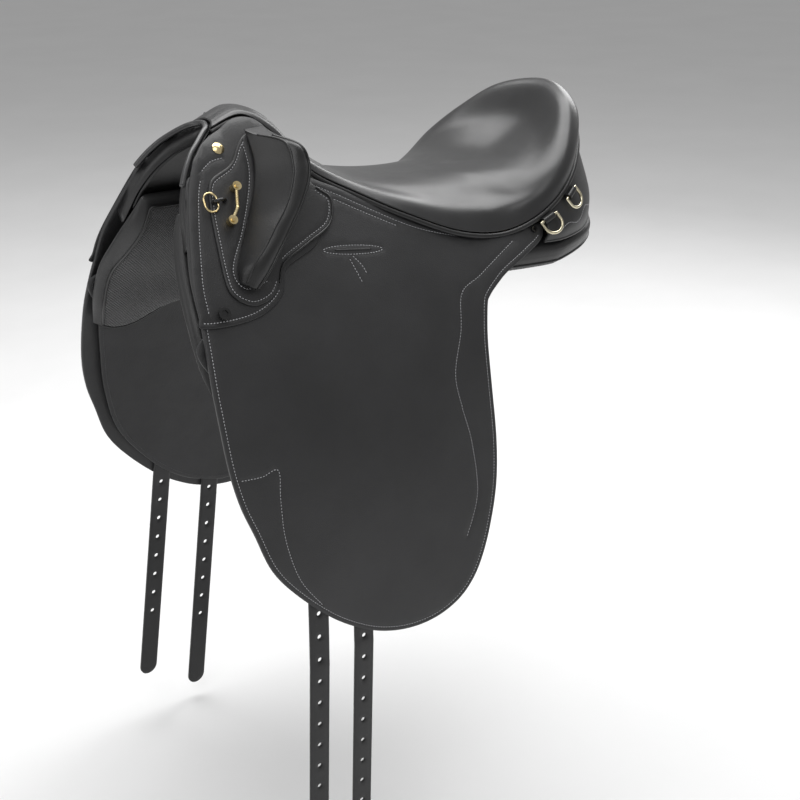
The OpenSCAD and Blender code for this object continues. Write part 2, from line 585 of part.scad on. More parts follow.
// ---- panels ----
module panel(side_y) {
    color("#1f1f21") mirrored(side_y) slab(
        [for (a = panel_columns) [for (v = [0:10]) panel_out(panel_x(a, v / 10), v / 10)]],
        [for (a = panel_columns) [for (v = [0:10]) panel_in(panel_x(a, v / 10), v / 10)]]);
}
function lining_pt(a, v, d) =
    let (x = panel_x(a, v), p = panel_in(x, v)) p + d * unit(p - panel_out(x, v));
lining_gap = 0.7;
// the lining follows the panel's own grid, so the two stay apart between the points too
module panel_lining(side_y) {
    a = [for (i = [1:len(panel_columns) - 2]) panel_columns[i]];
    color("#3a3a3e") mirrored(side_y) slab(
        [for (c = a) [for (v = [1:9]) lining_pt(c, v / 10, lining_gap)]],
        [for (c = a) [for (v = [1:9]) lining_pt(c, v / 10, lining_gap + 1.4)]]);
}
module panel_bridge() {
    color("#1d1d20") for (p = [[-60, 41], [214, 33]]) translate([p[0], -channel_y + 1.5, p[1]])
        cube([30, 2 * channel_y - 3, 4]);
}

// ---- girth straps: [side, middle x at the top, the fold and the tip, tip height, lowest hole, fold height] ----
strap_top_z = 24;
strap_places = [[near, -190, -210, -216, -564, -483, -345.5], [near, -140, -157, -164, -600, -522.5, -336],
    [off, -160, -192, -223, -564, -476, -338], [off, -100, -125, -158, -600, -501, -337]];
strap_hole_top = -280;
hole_edge = 6; // least distance from a hole's middle to the fold
function strap_lean(s) = atan2(s[2] - s[3], s[6] - s[4]);
// clear of the fold's round edge, which leans with the strap
function strap_top_end(s) = s[6] + strap_t / 2 + soft_gap + strap_w / 2 * abs(sin(strap_lean(s)));
function strap_holes(s, z0, z1) =
    [for (h = [0:12]) let (z = s[5] + h * hole_pitch) if (z > z0 && z < z1) z];
module strap_top(k) {
    s = strap_places[k];
    z = steps(strap_top_z, strap_top_end(s), 14);
    function mid(a) = mix(s[1], s[2], (strap_top_z - a) / (strap_top_z - s[6]));
    color("#222225") mirrored(s[0]) difference() {
        slab([for (e = [-0.5, 0.5]) [for (a = z) side(mid(a) + e * strap_w, a, strap_d)]],
            [for (e = [-0.5, 0.5]) [for (a = z) side(mid(a) + e * strap_w, a, strap_d - strap_t)]]);
        for (a = strap_holes(s, s[6] + hole_edge, strap_hole_top))
            on_side(mid(a), a, strap_d - 2 * strap_t) cylinder(d = hole_d, h = 3 * strap_t, $fn = 20);
    }
}
// middle of a strap's thickness at its fold
function strap_y(s) = side(0, s[6], strap_d - strap_t / 2)[1];
module girth_strap(k) {
    s = strap_places[k];
    length = s[6] - s[4];
    color("#1e1e21") mirrored(s[0]) translate([s[2], strap_y(s), s[6]]) rotate([0, strap_lean(s), 0]) {
        difference() {
            translate([0, strap_t / 2, 0]) rotate([90, 0, 0]) linear_extrude(strap_t) union() {
                translate([-strap_w / 2, strap_w / 2 - length]) square([strap_w, length - strap_w / 2]);
                translate([0, strap_w / 2 - length]) circle(d = strap_w);
            }
            for (z = strap_holes(s, s[4], s[6] - hole_edge))
                translate([0, strap_t, z - s[6]]) rotate([90, 0, 0]) cylinder(d = hole_d, h = 2 * strap_t);
        }
        translate([-strap_w / 2, 0, 0]) rotate([0, 90, 0]) cylinder(d = strap_t, h = strap_w);
    }
}

// ---- rear dees, each in a leather chape: [station, place down the facing] ----
dee_places = [[8.4, 0.22], [9.35, 0.17]];
dee_lift = dee_wire / 2 + 2.6;
chape_t = 2;
dee_leg = 7;
module dee(side_y, k) {
    r = dee_wire / 2;
    bow = dee_w / 2 + r;
    color("#cdc3a0") mirrored(side_y) on_back(dee_places[k][0], dee_places[k][1], dee_lift) {
        translate([-bow, 0, 0]) rotate([0, 90, 0]) cylinder(r = r, h = 2 * bow);
        for (e = [-1, 1]) {
            translate([e * bow, 0, 0]) sphere(r = r);
            translate([e * bow, 0, 0]) rotate([-90, 0, 0]) cylinder(r = r, h = dee_leg);
        }
        translate([0, dee_leg, 0]) rotate_extrude(angle = 180) translate([bow, 0]) circle(r = r);
    }
}
module dee_chapes() {
    color("#202023") for (side_y = [near, off], p = dee_places) mirrored(side_y) on_back(p[0], p[1], dee_lift)
        difference() {
            union() {
                translate([-7, 0, 0]) rotate([0, 90, 0]) cylinder(r = dee_wire / 2 + chape_t, h = 14);
                translate([-7, -8, -dee_lift + gap]) cube([14, 8, 2.6]);
            }
            translate([-8, 0, 0]) rotate([0, 90, 0]) cylinder(r = dee_wire / 2 + pin_gap, h = 16);
        }
}

tree_head();
gullet_plate();
tree_rivets();
tree_frame();
seat_webbing();
seat_strainer();
seat_foam();
seat_cover();
seat_welt();
pommel_lining();
gullet_face();
arch_piping();
cantle_facing();
dee_chapes();
pommel_studs();
ring_staples();
footmans_loops();
loop_screws();
flap_screws();
panel_bridge();
stirrup_bar(near);  // stirrup_bar_near
stirrup_bar(off);  // stirrup_bar_off
bar_catch(near);  // bar_catch_near
bar_catch(off);  // bar_catch_off
facing(near);  // facing_near
facing(off);  // facing_off
knee_patch(near);  // knee_patch_near
knee_patch(off);  // knee_patch_off
knee_pad(near);  // knee_pad_near
knee_pad(off);  // knee_pad_off
knee_pad_welt(near);  // knee_pad_welt_near
knee_pad_welt(off);  // knee_pad_welt_off
flap_top(near);  // flap_top_near
flap_top(off);  // flap_top_off
flap(near);  // flap_near
flap(off);  // flap_off
sweat_flap(near);  // sweat_flap_near
sweat_flap(off);  // sweat_flap_off
panel(near);  // panel_near
panel(off);  // panel_off
panel_lining(near);  // panel_lining_near
panel_lining(off);  // panel_lining_off
pommel_ring(near);  // pommel_ring_near
pommel_ring(off);  // pommel_ring_off
strap_top(0);  // strap_top_near_front
strap_top(1);  // strap_top_near_rear
strap_top(2);  // strap_top_off_front
strap_top(3);  // strap_top_off_rear
girth_strap(0);  // girth_strap_near_front
girth_strap(1);  // girth_strap_near_rear
girth_strap(2);  // girth_strap_off_front
girth_strap(3);  // girth_strap_off_rear
dee(near, 0);  // dee_near_low
dee(near, 1);  // dee_near_high
dee(off, 0);  // dee_off_low
dee(off, 1);  // dee_off_high
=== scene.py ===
# Stock-style english saddle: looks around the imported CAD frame. The shapes repeat the formulas of
# part.scad in millimetres, at a finer step, and are turned to metres when a mesh is made.
import math

import bmesh
import bpy
import numpy as np
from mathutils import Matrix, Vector
from mathutils.geometry import delaunay_2d_cdt


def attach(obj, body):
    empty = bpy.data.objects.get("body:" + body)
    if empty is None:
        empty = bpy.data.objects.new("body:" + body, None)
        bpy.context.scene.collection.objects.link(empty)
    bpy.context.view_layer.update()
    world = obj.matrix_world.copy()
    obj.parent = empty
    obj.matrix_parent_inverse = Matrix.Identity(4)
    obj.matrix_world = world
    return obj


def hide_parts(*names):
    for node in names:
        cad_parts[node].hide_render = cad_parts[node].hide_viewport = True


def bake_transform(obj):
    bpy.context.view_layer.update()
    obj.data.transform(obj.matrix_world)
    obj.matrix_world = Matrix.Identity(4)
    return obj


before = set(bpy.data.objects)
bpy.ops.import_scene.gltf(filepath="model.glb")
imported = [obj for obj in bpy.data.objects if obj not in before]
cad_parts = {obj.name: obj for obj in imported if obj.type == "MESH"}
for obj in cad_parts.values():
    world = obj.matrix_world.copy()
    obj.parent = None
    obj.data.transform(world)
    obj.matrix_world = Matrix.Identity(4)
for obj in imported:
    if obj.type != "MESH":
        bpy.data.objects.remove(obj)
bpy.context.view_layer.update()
MM = 0.001
NEAR, OFF = -1, 1
SIDES = {"near": NEAR, "off": OFF}
GAP = 0.4
ROOT = "saddle"


# ---- curves through a few points ----
def at(points, i):
    return points[max(0, min(len(points) - 1, i))]


def catmull(p0, p1, p2, p3, t):
    return 0.5 * (2 * p1 + (p2 - p0) * t + (2 * p0 - 5 * p1 + 4 * p2 - p3) * t * t
                  + (3 * p1 - p0 - 3 * p2 + p3) * t ** 3)


def spline(points, u):
    i = max(0, min(int(math.floor(u)), len(points) - 2))
    return catmull(at(points, i - 1), at(points, i), at(points, i + 1), at(points, i + 2), u - i)


def curve(table, x):
    i = 0
    while i < len(table) - 2 and x >= table[i + 1][0]:
        i += 1
    a, b = table[i], table[i + 1]
    h = b[0] - a[0]
    t = max(0.0, min(1.0, (x - a[0]) / h))

    def slope(k):
        p, q = at(table, k - 1), at(table, k + 1)
        return (q[1] - p[1]) / (q[0] - p[0])

    return (a[1] * (1 - 3 * t * t + 2 * t ** 3) + b[1] * (3 * t * t - 2 * t ** 3)
            + slope(i) * h * t * (1 - t) ** 2 - slope(i + 1) * h * t * t * (1 - t))


def smooth(t):
    c = max(0.0, min(1.0, t))
    return c * c * (3 - 2 * c)


def unit(v):
    return v / max(1e-12, math.sqrt(float(v @ v)))


def vec(*v):
    return np.array(v, float)


def flip_y(p):
    return vec(p[0], -p[1], p[2])


# ---- the outer surface of the saddle's side ----
ARCH = [(0, 174), (13, 172), (21.5, 168), (31, 160), (39.5, 150), (47, 140), (60, 120), (73, 100),
        (86, 80), (99.5, 60)]
SKIRT_STEP = 20
SKIRT_TOP = ARCH[-1][1] - SKIRT_STEP


def skirt_y(z):
    return 228 - 92 * math.exp(z / 175)


SECTION = [vec(*p) for p in ARCH] + [vec(skirt_y(SKIRT_TOP - SKIRT_STEP * i), SKIRT_TOP - SKIRT_STEP * i)
                                     for i in range(25)]
ARCH_Z = [p[1] for p in reversed(ARCH)]
ARCH_U = [float(i) for i in range(len(ARCH) - 1, -1, -1)]
DOME = [(-211, 0.99), (-203, 1), (-190, 1.08), (-174, 1.12), (-160, 1.1), (-146, 1), (-118, 0.9), (-92, 1)]
DOME_Z = 90
FLARE, FLARE_X, FLARE_RUN = 16, 32, 90


def section_u(z):
    if z < ARCH[-1][1]:
        return len(ARCH) - 1 + (ARCH[-1][1] - z) / SKIRT_STEP
    return float(np.interp(z, ARCH_Z, ARCH_U))


def section_at(u):
    v = abs(u)
    i = min(int(math.floor(v)), len(SECTION) - 2)
    before = vec(-SECTION[1][0], SECTION[1][1]) if i == 0 else SECTION[i - 1]
    p = catmull(before, SECTION[i], SECTION[i + 1], at(SECTION, i + 2), v - i)
    return vec(-p[0] if u < 0 else p[0], p[1])


def raised(x, z):
    return z if z <= DOME_Z else DOME_Z + (z - DOME_Z) * curve(DOME, x)


SECTION_FINE = 50
SECTION_POINTS, SECTION_TURNS = [], []
for fine_k in range((len(SECTION) - 1) * SECTION_FINE + 1):
    fine_u = fine_k / SECTION_FINE
    SECTION_POINTS.append(tuple(float(c) for c in section_at(fine_u)))
    SECTION_TURNS.append(tuple(float(c) for c in unit(section_at(fine_u + 0.05) - section_at(fine_u - 0.05))))


def side_u(x, u, d):
    sign = -1.0 if u < 0 else 1.0
    v = min(abs(u) * SECTION_FINE, len(SECTION_POINTS) - 1.001)
    i = int(v)
    f = v - i
    (y0, z0), (y1, z1) = SECTION_POINTS[i], SECTION_POINTS[i + 1]
    (a0, b0), (a1, b1) = SECTION_TURNS[i], SECTION_TURNS[i + 1]
    y, z = y0 + (y1 - y0) * f, z0 + (z1 - z0) * f
    ty, tz = a0 + (a1 - a0) * f, b0 + (b1 - b0) * f
    flare = 0.0 if x <= FLARE_X or u == 0 else FLARE * smooth((x - FLARE_X) / FLARE_RUN)
    return vec(x, sign * (y - d * tz + flare), raised(x, z) + d * ty)


def side(x, z, d=0.0):
    return side_u(x, section_u(z), d)


def side_normal(x, z):
    return unit(side(x, z, 1.0) - side(x, z, 0.0))


ARCH_FRONT = [(-20, -285), (0, -282), (50, -275), (88, -266), (110, -261), (130, -252), (150, -237),
              (160, -225), (168, -214), (174, -203)]


def arch_x(u):
    return curve(ARCH_FRONT, section_at(abs(u))[1])


# ---- layers of leather on the side, depth of each under the outer face of the flap ----
FLAP_T, SWEAT_T, STRAP_T, STRAP_W, LEAF_T = 4.5, 3.5, 3.6, 22, 2
FACING_D = GAP + LEAF_T
PATCH_D = FACING_D + GAP + LEAF_T
STRAP_D = -FLAP_T - 2 * GAP
SWEAT_D = STRAP_D - STRAP_T - GAP
PANEL_D = SWEAT_D - SWEAT_T - GAP

# ---- the seat ----
STATIONS = [
    [(-203, 174), (-209, 19, 170), (-205, 11, 173), 0],
    [(-175, 185), (-176, 23, 180), (-175, 14, 184), 1],
    [(-146, 174), (-147, 37, 159), (-146, 23, 169), 2],
    [(-112, 139), (-118, 54, 124), (-115, 35, 134), 3],
    [(-70, 111), (-75, 74, 99), (-72, 48, 108), 3],
    [(-25, 100), (-30, 94, 76), (-28, 62, 93), 4],
    [(22, 95), (25, 111, 53), (24, 75, 82), 5],
    [(55, 95), (75, 119, 46), (72, 85, 78), 6],
    [(68, 96), (115, 127, 58), (106, 108, 82), 6],
    [(75, 97), (150, 125, 80), (143, 115, 106), 6],
    [(81, 98), (184, 105, 106), (173, 94, 135), 7],
    [(85, 98), (218, 62, 134), (199, 58, 162), 9],
    [(87, 98), (237, 0, 148), (215, 0, 173), 9]]
LAST = len(STATIONS) - 1
DISH_POWER = 3
COVER_T, WELT_R = 2.5, 2.8


def station(i):
    s = STATIONS[max(0, i)] if i <= LAST else STATIONS[2 * LAST - i]
    k = 1 if i <= LAST else -1
    return vec(s[0][0], s[0][1], s[1][0], k * s[1][1], s[1][2], s[2][0], k * s[2][1], s[2][2], s[3])


STATION_ROWS = [station(i) for i in range(-1, 2 * LAST + 1)]


def seat_line(u):
    i = max(0, min(int(math.floor(u)), 2 * LAST - 1))
    s = catmull(STATION_ROWS[i], STATION_ROWS[i + 1], STATION_ROWS[i + 2],
                STATION_ROWS[min(i + 3, 2 * LAST + 1)], u - i)
    m, w, c = vec(s[0], 0, s[1]), s[2:5], s[5:8]
    out = unit(vec(w[0] - m[0], w[1], 0))
    q = [vec(m[0] + (c[0] - m[0]) * f, m[1] + (c[1] - m[1]) * f, m[2] + (c[2] - m[2]) * f ** DISH_POWER)
         for f in (0.25, 0.5, 0.78)]
    return [m, q[0], q[1], q[2], c, (c + w) / 2 + s[8] * (out + vec(0, 0, 0.8)), w]


def seat_on(line, t):
    return spline(line, t * (len(line) - 1))


def seat_pt(u, t, d=0.0):
    h = 0.02
    line = seat_line(u)
    p = seat_on(line, t)
    if d == 0:
        return p
    v = max(t, h)
    q = seat_on(line, v)
    a = seat_on(seat_line(u + h), v) - q if u < LAST else q - seat_on(seat_line(u - h), v)
    b = seat_on(line, v + h) - q if v < 0.5 else q - seat_on(line, v - h)
    n = unit(np.cross(a, b))
    return p + d * (unit(vec(n[0], 0, n[2])) if t == 0 else n)


def seat_round(u, t, d=0.0):
    return seat_pt(u, t, d) if u <= LAST else flip_y(seat_pt(2 * LAST - u, t, d))


# ---- the leather at the back ----
BACK_A = 8
BACK_START = 8.32
BACK_FOOT = [vec(*p) for p in [(114, 132, 30), (150, 133, 30), (194, 113, 32), (234, 69, 37), (254, 0, 41),
                               (234, -69, 37)]]
BACK_SWELL = 6


def back_line(u):
    w = seat_pt(u, 1)
    top = w + vec(-2, -2 * np.sign(w[1]), -6)
    foot = spline(BACK_FOOT, u - BACK_A)
    out = unit(vec(foot[0] - 90, foot[1], 0))
    upper = top * 0.65 + foot * 0.35 + BACK_SWELL * 0.7 * out
    lower = top * 0.3 + foot * 0.7 + BACK_SWELL * out
    return [top, upper, lower, foot]


def back_on(u, v):
    return spline(back_line(u), 3 * v)


def back_normal(u, v):
    h = 0.03
    p = back_on(u, v)
    q = back_on(u, v + h) - p if v < 0.5 else p - back_on(u, v - h)
    return unit(np.cross(back_on(u - h, v) - p, q) * -1)


def back_round(s, v, d=0.0):
    u = s if s <= LAST else 2 * LAST - s
    p = back_on(u, v) + d * back_normal(u, v)
    return p if s <= LAST else flip_y(p)


# ---- panels ----
CHANNEL_Y = 36
PANEL_TAIL = [(20, 108), (60, 115), (90, 123), (120, 128), (150, 129), (190, 116), (218, 96), (238, 71),
              (250, 50), (256, 40)]
TAIL_RISE = [(150, 0), (256, 15)]
TAIL_DROP = [(60, 0), (150, 9), (195, 9), (234, 14)]
PANEL_NOSE = [-260, -271, -280, -286, -286, -280]
PANEL_HEM = [(-287, -52), (-280, -60), (-260, -70), (-236, -69), (-212, -57), (-190, -47), (-150, -42)]
PANEL_END = 256
PANEL_WIDTH = 130 - CHANNEL_Y


def tail_y(x, y):
    return CHANNEL_Y + (y - CHANNEL_Y) * (curve(PANEL_TAIL, x) - CHANNEL_Y) / PANEL_WIDTH


def panel_mix(x, front, mid, rear):
    a, b = smooth((x + 200) / 90), smooth((x + 45) / 75)
    return [(f + (m - f) * a) * (1 - b) + r * b for f, m, r in zip(front, mid, rear)]


def panel_out_line(x):
    front = [side(x, z, d) for z, d in [(112, -25), (88, -25), (58, -22), (20, -15), (-25, PANEL_D),
                                        (curve(PANEL_HEM, x), PANEL_D)]]
    mid = [vec(x, CHANNEL_Y, 44), vec(x, 70, 44), vec(x, 94, 36), side(x, 12, PANEL_D), side(x, -14, PANEL_D),
           side(x, -40, PANEL_D)]
    rise, drop = curve(TAIL_RISE, x), curve(TAIL_DROP, x)
    rear = [vec(x, tail_y(x, y), z - drop + (rise + drop) * k)
            for y, z, k in [(36, 48, 0), (75, 49, 0), (103, 44, 0.1), (120, 34, 0.4), (129, 21, 0.8),
                            (127, 9, 1)]]
    return panel_mix(x, front, mid, rear)


def panel_in_line(x):
    front = [side(x, z, d) for z, d in [(110, -36), (86, -50), (54, -52), (18, -46), (-25, -40),
                                        (curve(PANEL_HEM, x) + 2, -20)]]
    mid = [vec(x, CHANNEL_Y - 2, 12), vec(x, 58, 0), vec(x, 80, -10), side(x, 0, -42), side(x, -20, -40),
           side(x, -41, -19)]
    rear = [vec(x, tail_y(x, y), z + curve(TAIL_RISE, x))
            for y, z in [(36, 12), (58, 0), (83, -5), (103, -5), (116, -2), (124, 4)]]
    return panel_mix(x, front, mid, rear)


def panel_x(a, v):
    nose = float(spline([vec(n) for n in PANEL_NOSE], 5 * v)[0])
    return nose + (PANEL_END - nose) * a


def panel_out(x, v):
    return spline(panel_out_line(x), 5 * v)


def panel_in(x, v):
    k = 0.4 + 0.6 * smooth((x - PANEL_NOSE[3]) / 30)
    o = panel_out(x, v)
    return o + (spline(panel_in_line(x), 5 * v) - o) * k


# ---- knee pads ----
PAD_D = PATCH_D + 2.2
PAD_RINGS = [
    [(-183, 156), (-162, 157), (-178, 56, 165), (-164, 60, 164)],
    [(-184, 147), (-148, 148), (-164, 85, 162), (-150, 89, 158)],
    [(-185, 131), (-141, 132), (-163, 99, 144), (-145, 97, 143)],
    [(-192, 114), (-147, 115), (-170, 109, 126), (-149, 104, 127)],
    [(-206, 92), (-164, 97), (-182, 117, 108), (-163, 114, 108)],
    [(-218, 75), (-181, 78), (-199, 125, 91), (-179, 122, 90)],
    [(-228, 60), (-197, 61), (-213, 131, 76), (-196, 130, 72)],
    [(-234, 49), (-211, 47), (-226, 132, 61), (-212, 133, 51)],
    [(-235, 38), (-222, 35), (-232, 128, 43), (-223, 131, 37)]]


def pad_corners(k):
    (ax, az), (bx, bz), r, g = k
    return np.array([side(ax, az, PAD_D), vec(*r), vec(*g), side(bx, bz, PAD_D)])


PAD_CORNERS = [pad_corners(k) for k in PAD_RINGS]


def pad_at(u):
    i = min(int(math.floor(u)), len(PAD_CORNERS) - 2)
    return catmull(at(PAD_CORNERS, i - 1), PAD_CORNERS[i], PAD_CORNERS[i + 1], at(PAD_CORNERS, i + 2), u - i)


# ---- making meshes ----
def steps(a, b, n):
    return [a + (b - a) * i / n for i in range(n + 1)]


def new_object(name, verts, faces, mirror=False, smooth_shade=True):
    v = np.array(verts, float) * MM
    if mirror:
        v = v * vec(1, -1, 1)
        faces = [tuple(reversed(f)) for f in faces]
    mesh = bpy.data.meshes.new(name)
    mesh.from_pydata([tuple(p) for p in v], [], [tuple(int(i) for i in f) for f in faces])
    mesh.validate()
    mesh.update()
    obj = bpy.data.objects.new(name, mesh)
    bpy.context.scene.collection.objects.link(obj)
    if smooth_shade:
        mesh.polygons.foreach_set("use_smooth", [True] * len(mesh.polygons))
    return obj


def applied(obj):
    bpy.context.view_layer.update()
    graph = bpy.context.evaluated_depsgraph_get()
    mesh = bpy.data.meshes.new_from_object(obj.evaluated_get(graph))
    obj.modifiers.clear()
    obj.data = mesh
    return obj


def weld(obj, distance=0.05):
    m = obj.modifiers.new("weld", "WELD")
    m.merge_threshold = distance * MM
    return applied(obj)


def grid_faces(n, m, first=0, close=False):
    out = []
    for i in range(n - 1):
        for j in range(m if close else m - 1):
            k = (j + 1) % m
            out.append((first + i * m + j, first + i * m + k, first + (i + 1) * m + k, first + (i + 1) * m + j))
    return out


def facing_right(verts, faces):
    """Faces turned so that the closed mesh has a positive volume."""
    v = np.array(verts, float)
    tri = np.array([(f[0], f[k], f[k + 1]) for f in faces for k in range(1, len(f) - 1)])
    total = np.einsum("ij,ij->i", v[tri[:, 0]], np.cross(v[tri[:, 1]], v[tri[:, 2]])).sum()
    return faces if total > 0 else [tuple(reversed(f)) for f in faces]


def slab(name, top, bottom, mirror=False):
    n, m = len(top), len(top[0])
    verts = [p for row in top for p in row] + [p for row in bottom for p in row]
    k = n * m
    faces = grid_faces(n, m) + [tuple(reversed([i + k for i in f])) for f in grid_faces(n, m)]
    rim = ([(j, j + 1) for j in range(m - 1)] + [(i * m + m - 1, (i + 1) * m + m - 1) for i in range(n - 1)]
           + [((n - 1) * m + j, (n - 1) * m + j - 1) for j in range(m - 1, 0, -1)]
           + [(i * m, (i - 1) * m) for i in range(n - 1, 0, -1)])
    faces += [(a, a + k, b + k, b) for a, b in rim]
    return new_object(name, verts, facing_right(verts, faces), mirror)


def skin(name, rings, mirror=False, capped=True):
    n, m = len(rings), len(rings[0])
    verts = [p for r in rings for p in r]
    faces = grid_faces(n, m, close=True)
    if capped:
        faces += [tuple(range(m - 1, -1, -1)), tuple((n - 1) * m + j for j in range(m))]
    return new_object(name, verts, facing_right(verts, faces), mirror)


def tube(name, path, r, sides=12, mirror=False, closed=False, radii=None):
    path = [np.array(p, float) for p in path]
    n = len(path)
    rings, a = [], None
    for i, p in enumerate(path):
        if closed:
            d = unit(path[(i + 1) % n] - path[i - 1])
        else:
            d = unit(at(path, i + 1) - at(path, i - 1))
        if a is None:
            a = unit(np.cross(d, vec(0, 0, 1) if abs(d[2]) < 0.9 else vec(1, 0, 0)))
        a = unit(a - d * (a @ d))
        b = np.cross(d, a)
        q = r if radii is None else radii[i]
        rings.append([p + q * (math.cos(2 * math.pi * k / sides) * a + math.sin(2 * math.pi * k / sides) * b)
                      for k in range(sides)])
    if closed:
        rings.append(rings[0])
        return weld(skin(name, rings, mirror, capped=False), 0.01)
    return skin(name, rings, mirror)


def resample(points, pitch, closed=False):
    p = [np.array(q, float) for q in points]
    if closed:
        p.append(p[0])
    p = np.array(p)
    s = np.concatenate([[0], np.cumsum(np.linalg.norm(np.diff(p, axis=0), axis=1))])
    n = max(2, int(round(s[-1] / pitch)))
    u = np.linspace(0, s[-1], n + 1)
    out = np.array([np.interp(u, s, p[:, k]) for k in range(p.shape[1])]).T
    return out[:-1] if closed else out


def through(points, pitch=2.0, closed=False):
    """A smooth line through points, sampled evenly."""
    p = [vec(*q) for q in points]
    if closed:
        p = [p[-1]] + p + [p[0], p[1]]
        fine = [spline(p, u) for u in np.linspace(1, len(p) - 2, 12 * len(p))]
        return resample(fine[:-1], pitch, True)
    fine = [spline(p, u) for u in np.linspace(0, len(p) - 1, 12 * len(p))]
    return resample(fine, pitch)


def inside(points, outline):
    x, y = points[:, 0], points[:, 1]
    ox, oy = outline[:, 0], outline[:, 1]
    hit = np.zeros(len(points), bool)
    for i in range(len(outline)):
        j = i - 1
        cross = (oy[i] > y) != (oy[j] > y)
        with np.errstate(divide="ignore", invalid="ignore"):
            xs = (ox[j] - ox[i]) * (y - oy[i]) / (oy[j] - oy[i]) + ox[i]
        hit ^= cross & (x < xs)
    return hit


def shift_line(line, by, closed=False):
    line = np.array(line)
    if closed:
        d = np.roll(line, -1, axis=0) - np.roll(line, 1, axis=0)
    else:
        d = np.gradient(line, axis=0)
    n = np.stack([-d[:, 1], d[:, 0]], 1)
    n /= np.maximum(1e-9, np.linalg.norm(n, axis=1))[:, None]
    return line + n * by


def near_to(points, others, distance):
    out = np.zeros(len(points), bool)
    for k in range(0, len(others), 64):
        block = others[k:k + 64]
        out |= (np.linalg.norm(points[:, None] - block[None], axis=2) < distance).any(1)
    return out


def leaf(name, outline, place, d, t, step=5.0, creases=(), holes=(), mirror=False, edge=0.9, soft_edge=0.7,
         crease_depth=0.45, lift=None):
    """A sheet of leather with a rounded edge and pressed lines: outline and lines are in the sheet's own
    two dimensions, place(a, b, depth) puts a point in space."""
    outline = np.array(outline)
    area = 0.5 * np.sum(outline[:, 0] * np.roll(outline[:, 1], -1) - np.roll(outline[:, 0], -1) * outline[:, 1])
    if area < 0:
        outline = outline[::-1]
    rings = [outline] + [np.array(h) for h in holes]
    points, depth, edges = [], [], []
    for k, ring in enumerate(rings):
        base = sum(len(p) for p in points)
        points.append(ring)
        depth += [-edge] * len(ring)
        edges += [(base + i, base + (i + 1) % len(ring)) for i in range(len(ring))]
        inward = -edge if k and hole_turn(ring) else edge
        inner = shift_line(ring, inward, True)
        points.append(inner)
        depth += [0.0] * len(inner)
    walls = np.concatenate(points)
    for line in creases:
        line = np.array(line)
        for by, down in ((0, -crease_depth), (1.3, 0.0), (-1.3, 0.0)):
            moved = shift_line(line, by) if by else line
            keep = inside(moved, outline) & ~near_to(moved, walls, 0.7)
            moved = moved[keep]
            points.append(moved)
            depth += [down] * len(moved)
    fixed = np.concatenate(points)
    lo, hi = outline.min(0), outline.max(0)
    gx, gy = np.meshgrid(np.arange(lo[0], hi[0], step), np.arange(lo[1], hi[1], step * 0.87))
    gx = gx + (np.arange(gx.shape[0]) % 2)[:, None] * step / 2
    grid = np.stack([gx.ravel(), gy.ravel()], 1)
    grid = grid[inside(grid, outline)]
    grid = grid[~near_to(grid, fixed, step * 0.5)]
    for h in holes:
        grid = grid[~inside(grid, np.array(h))]
    points.append(grid)
    depth += [0.0] * len(grid)
    p2 = np.concatenate(points)
    result = delaunay_2d_cdt([Vector(p) for p in p2], edges, [], 0, 1e-4)
    co = np.array([tuple(v) for v in result[0]])
    origin = result[3]
    dep = np.array([depth[o[0]] if o else 0.0 for o in origin])
    tri = np.array([f for f in result[2] if len(f) == 3])
    mid = co[tri].mean(1)
    keep = inside(mid, outline)
    for h in holes:
        keep &= ~inside(mid, np.array(h))
    tri = tri[keep]
    used = np.unique(tri)
    back = {int(k): i for i, k in enumerate(used)}
    tri = [tuple(back[int(k)] for k in f) for f in tri]
    co, dep = co[used], dep[used]
    rim_d = np.where(dep <= -edge + 1e-6, -soft_edge, dep)
    extra = np.zeros(len(co)) if lift is None else np.array([lift(*p) for p in co])
    top = [place(p[0], p[1], d + e + x) for p, e, x in zip(co, rim_d, extra)]
    under = [place(p[0], p[1], d - t + (soft_edge if e <= -edge + 1e-6 else 0) + min(0, x))
             for p, e, x in zip(co, dep, extra)]
    k = len(co)
    faces = list(tri) + [tuple(reversed([i + k for i in f])) for f in tri]
    count = {}
    for f in tri:
        for a, b in ((f[0], f[1]), (f[1], f[2]), (f[2], f[0])):
            count[(a, b)] = 1
    faces += [(b, a, a + k, b + k) for a, b in count if (b, a) not in count]
    verts = top + under
    return new_object(name, verts, facing_right(verts, faces), mirror)


def hole_turn(ring):
    return 0.5 * np.sum(ring[:, 0] * np.roll(ring[:, 1], -1) - np.roll(ring[:, 0], -1) * ring[:, 1]) > 0


def circle(cx, cy, r, n=20):
    return [(cx + r * math.cos(2 * math.pi * k / n), cy + r * math.sin(2 * math.pi * k / n)) for k in range(n)]


STITCH_PROFILE = [(-0.5, 0.0), (-0.42, 0.62), (-0.2, 0.95), (0.0, 1.0), (0.2, 0.95), (0.42, 0.62), (0.5, 0.0)]


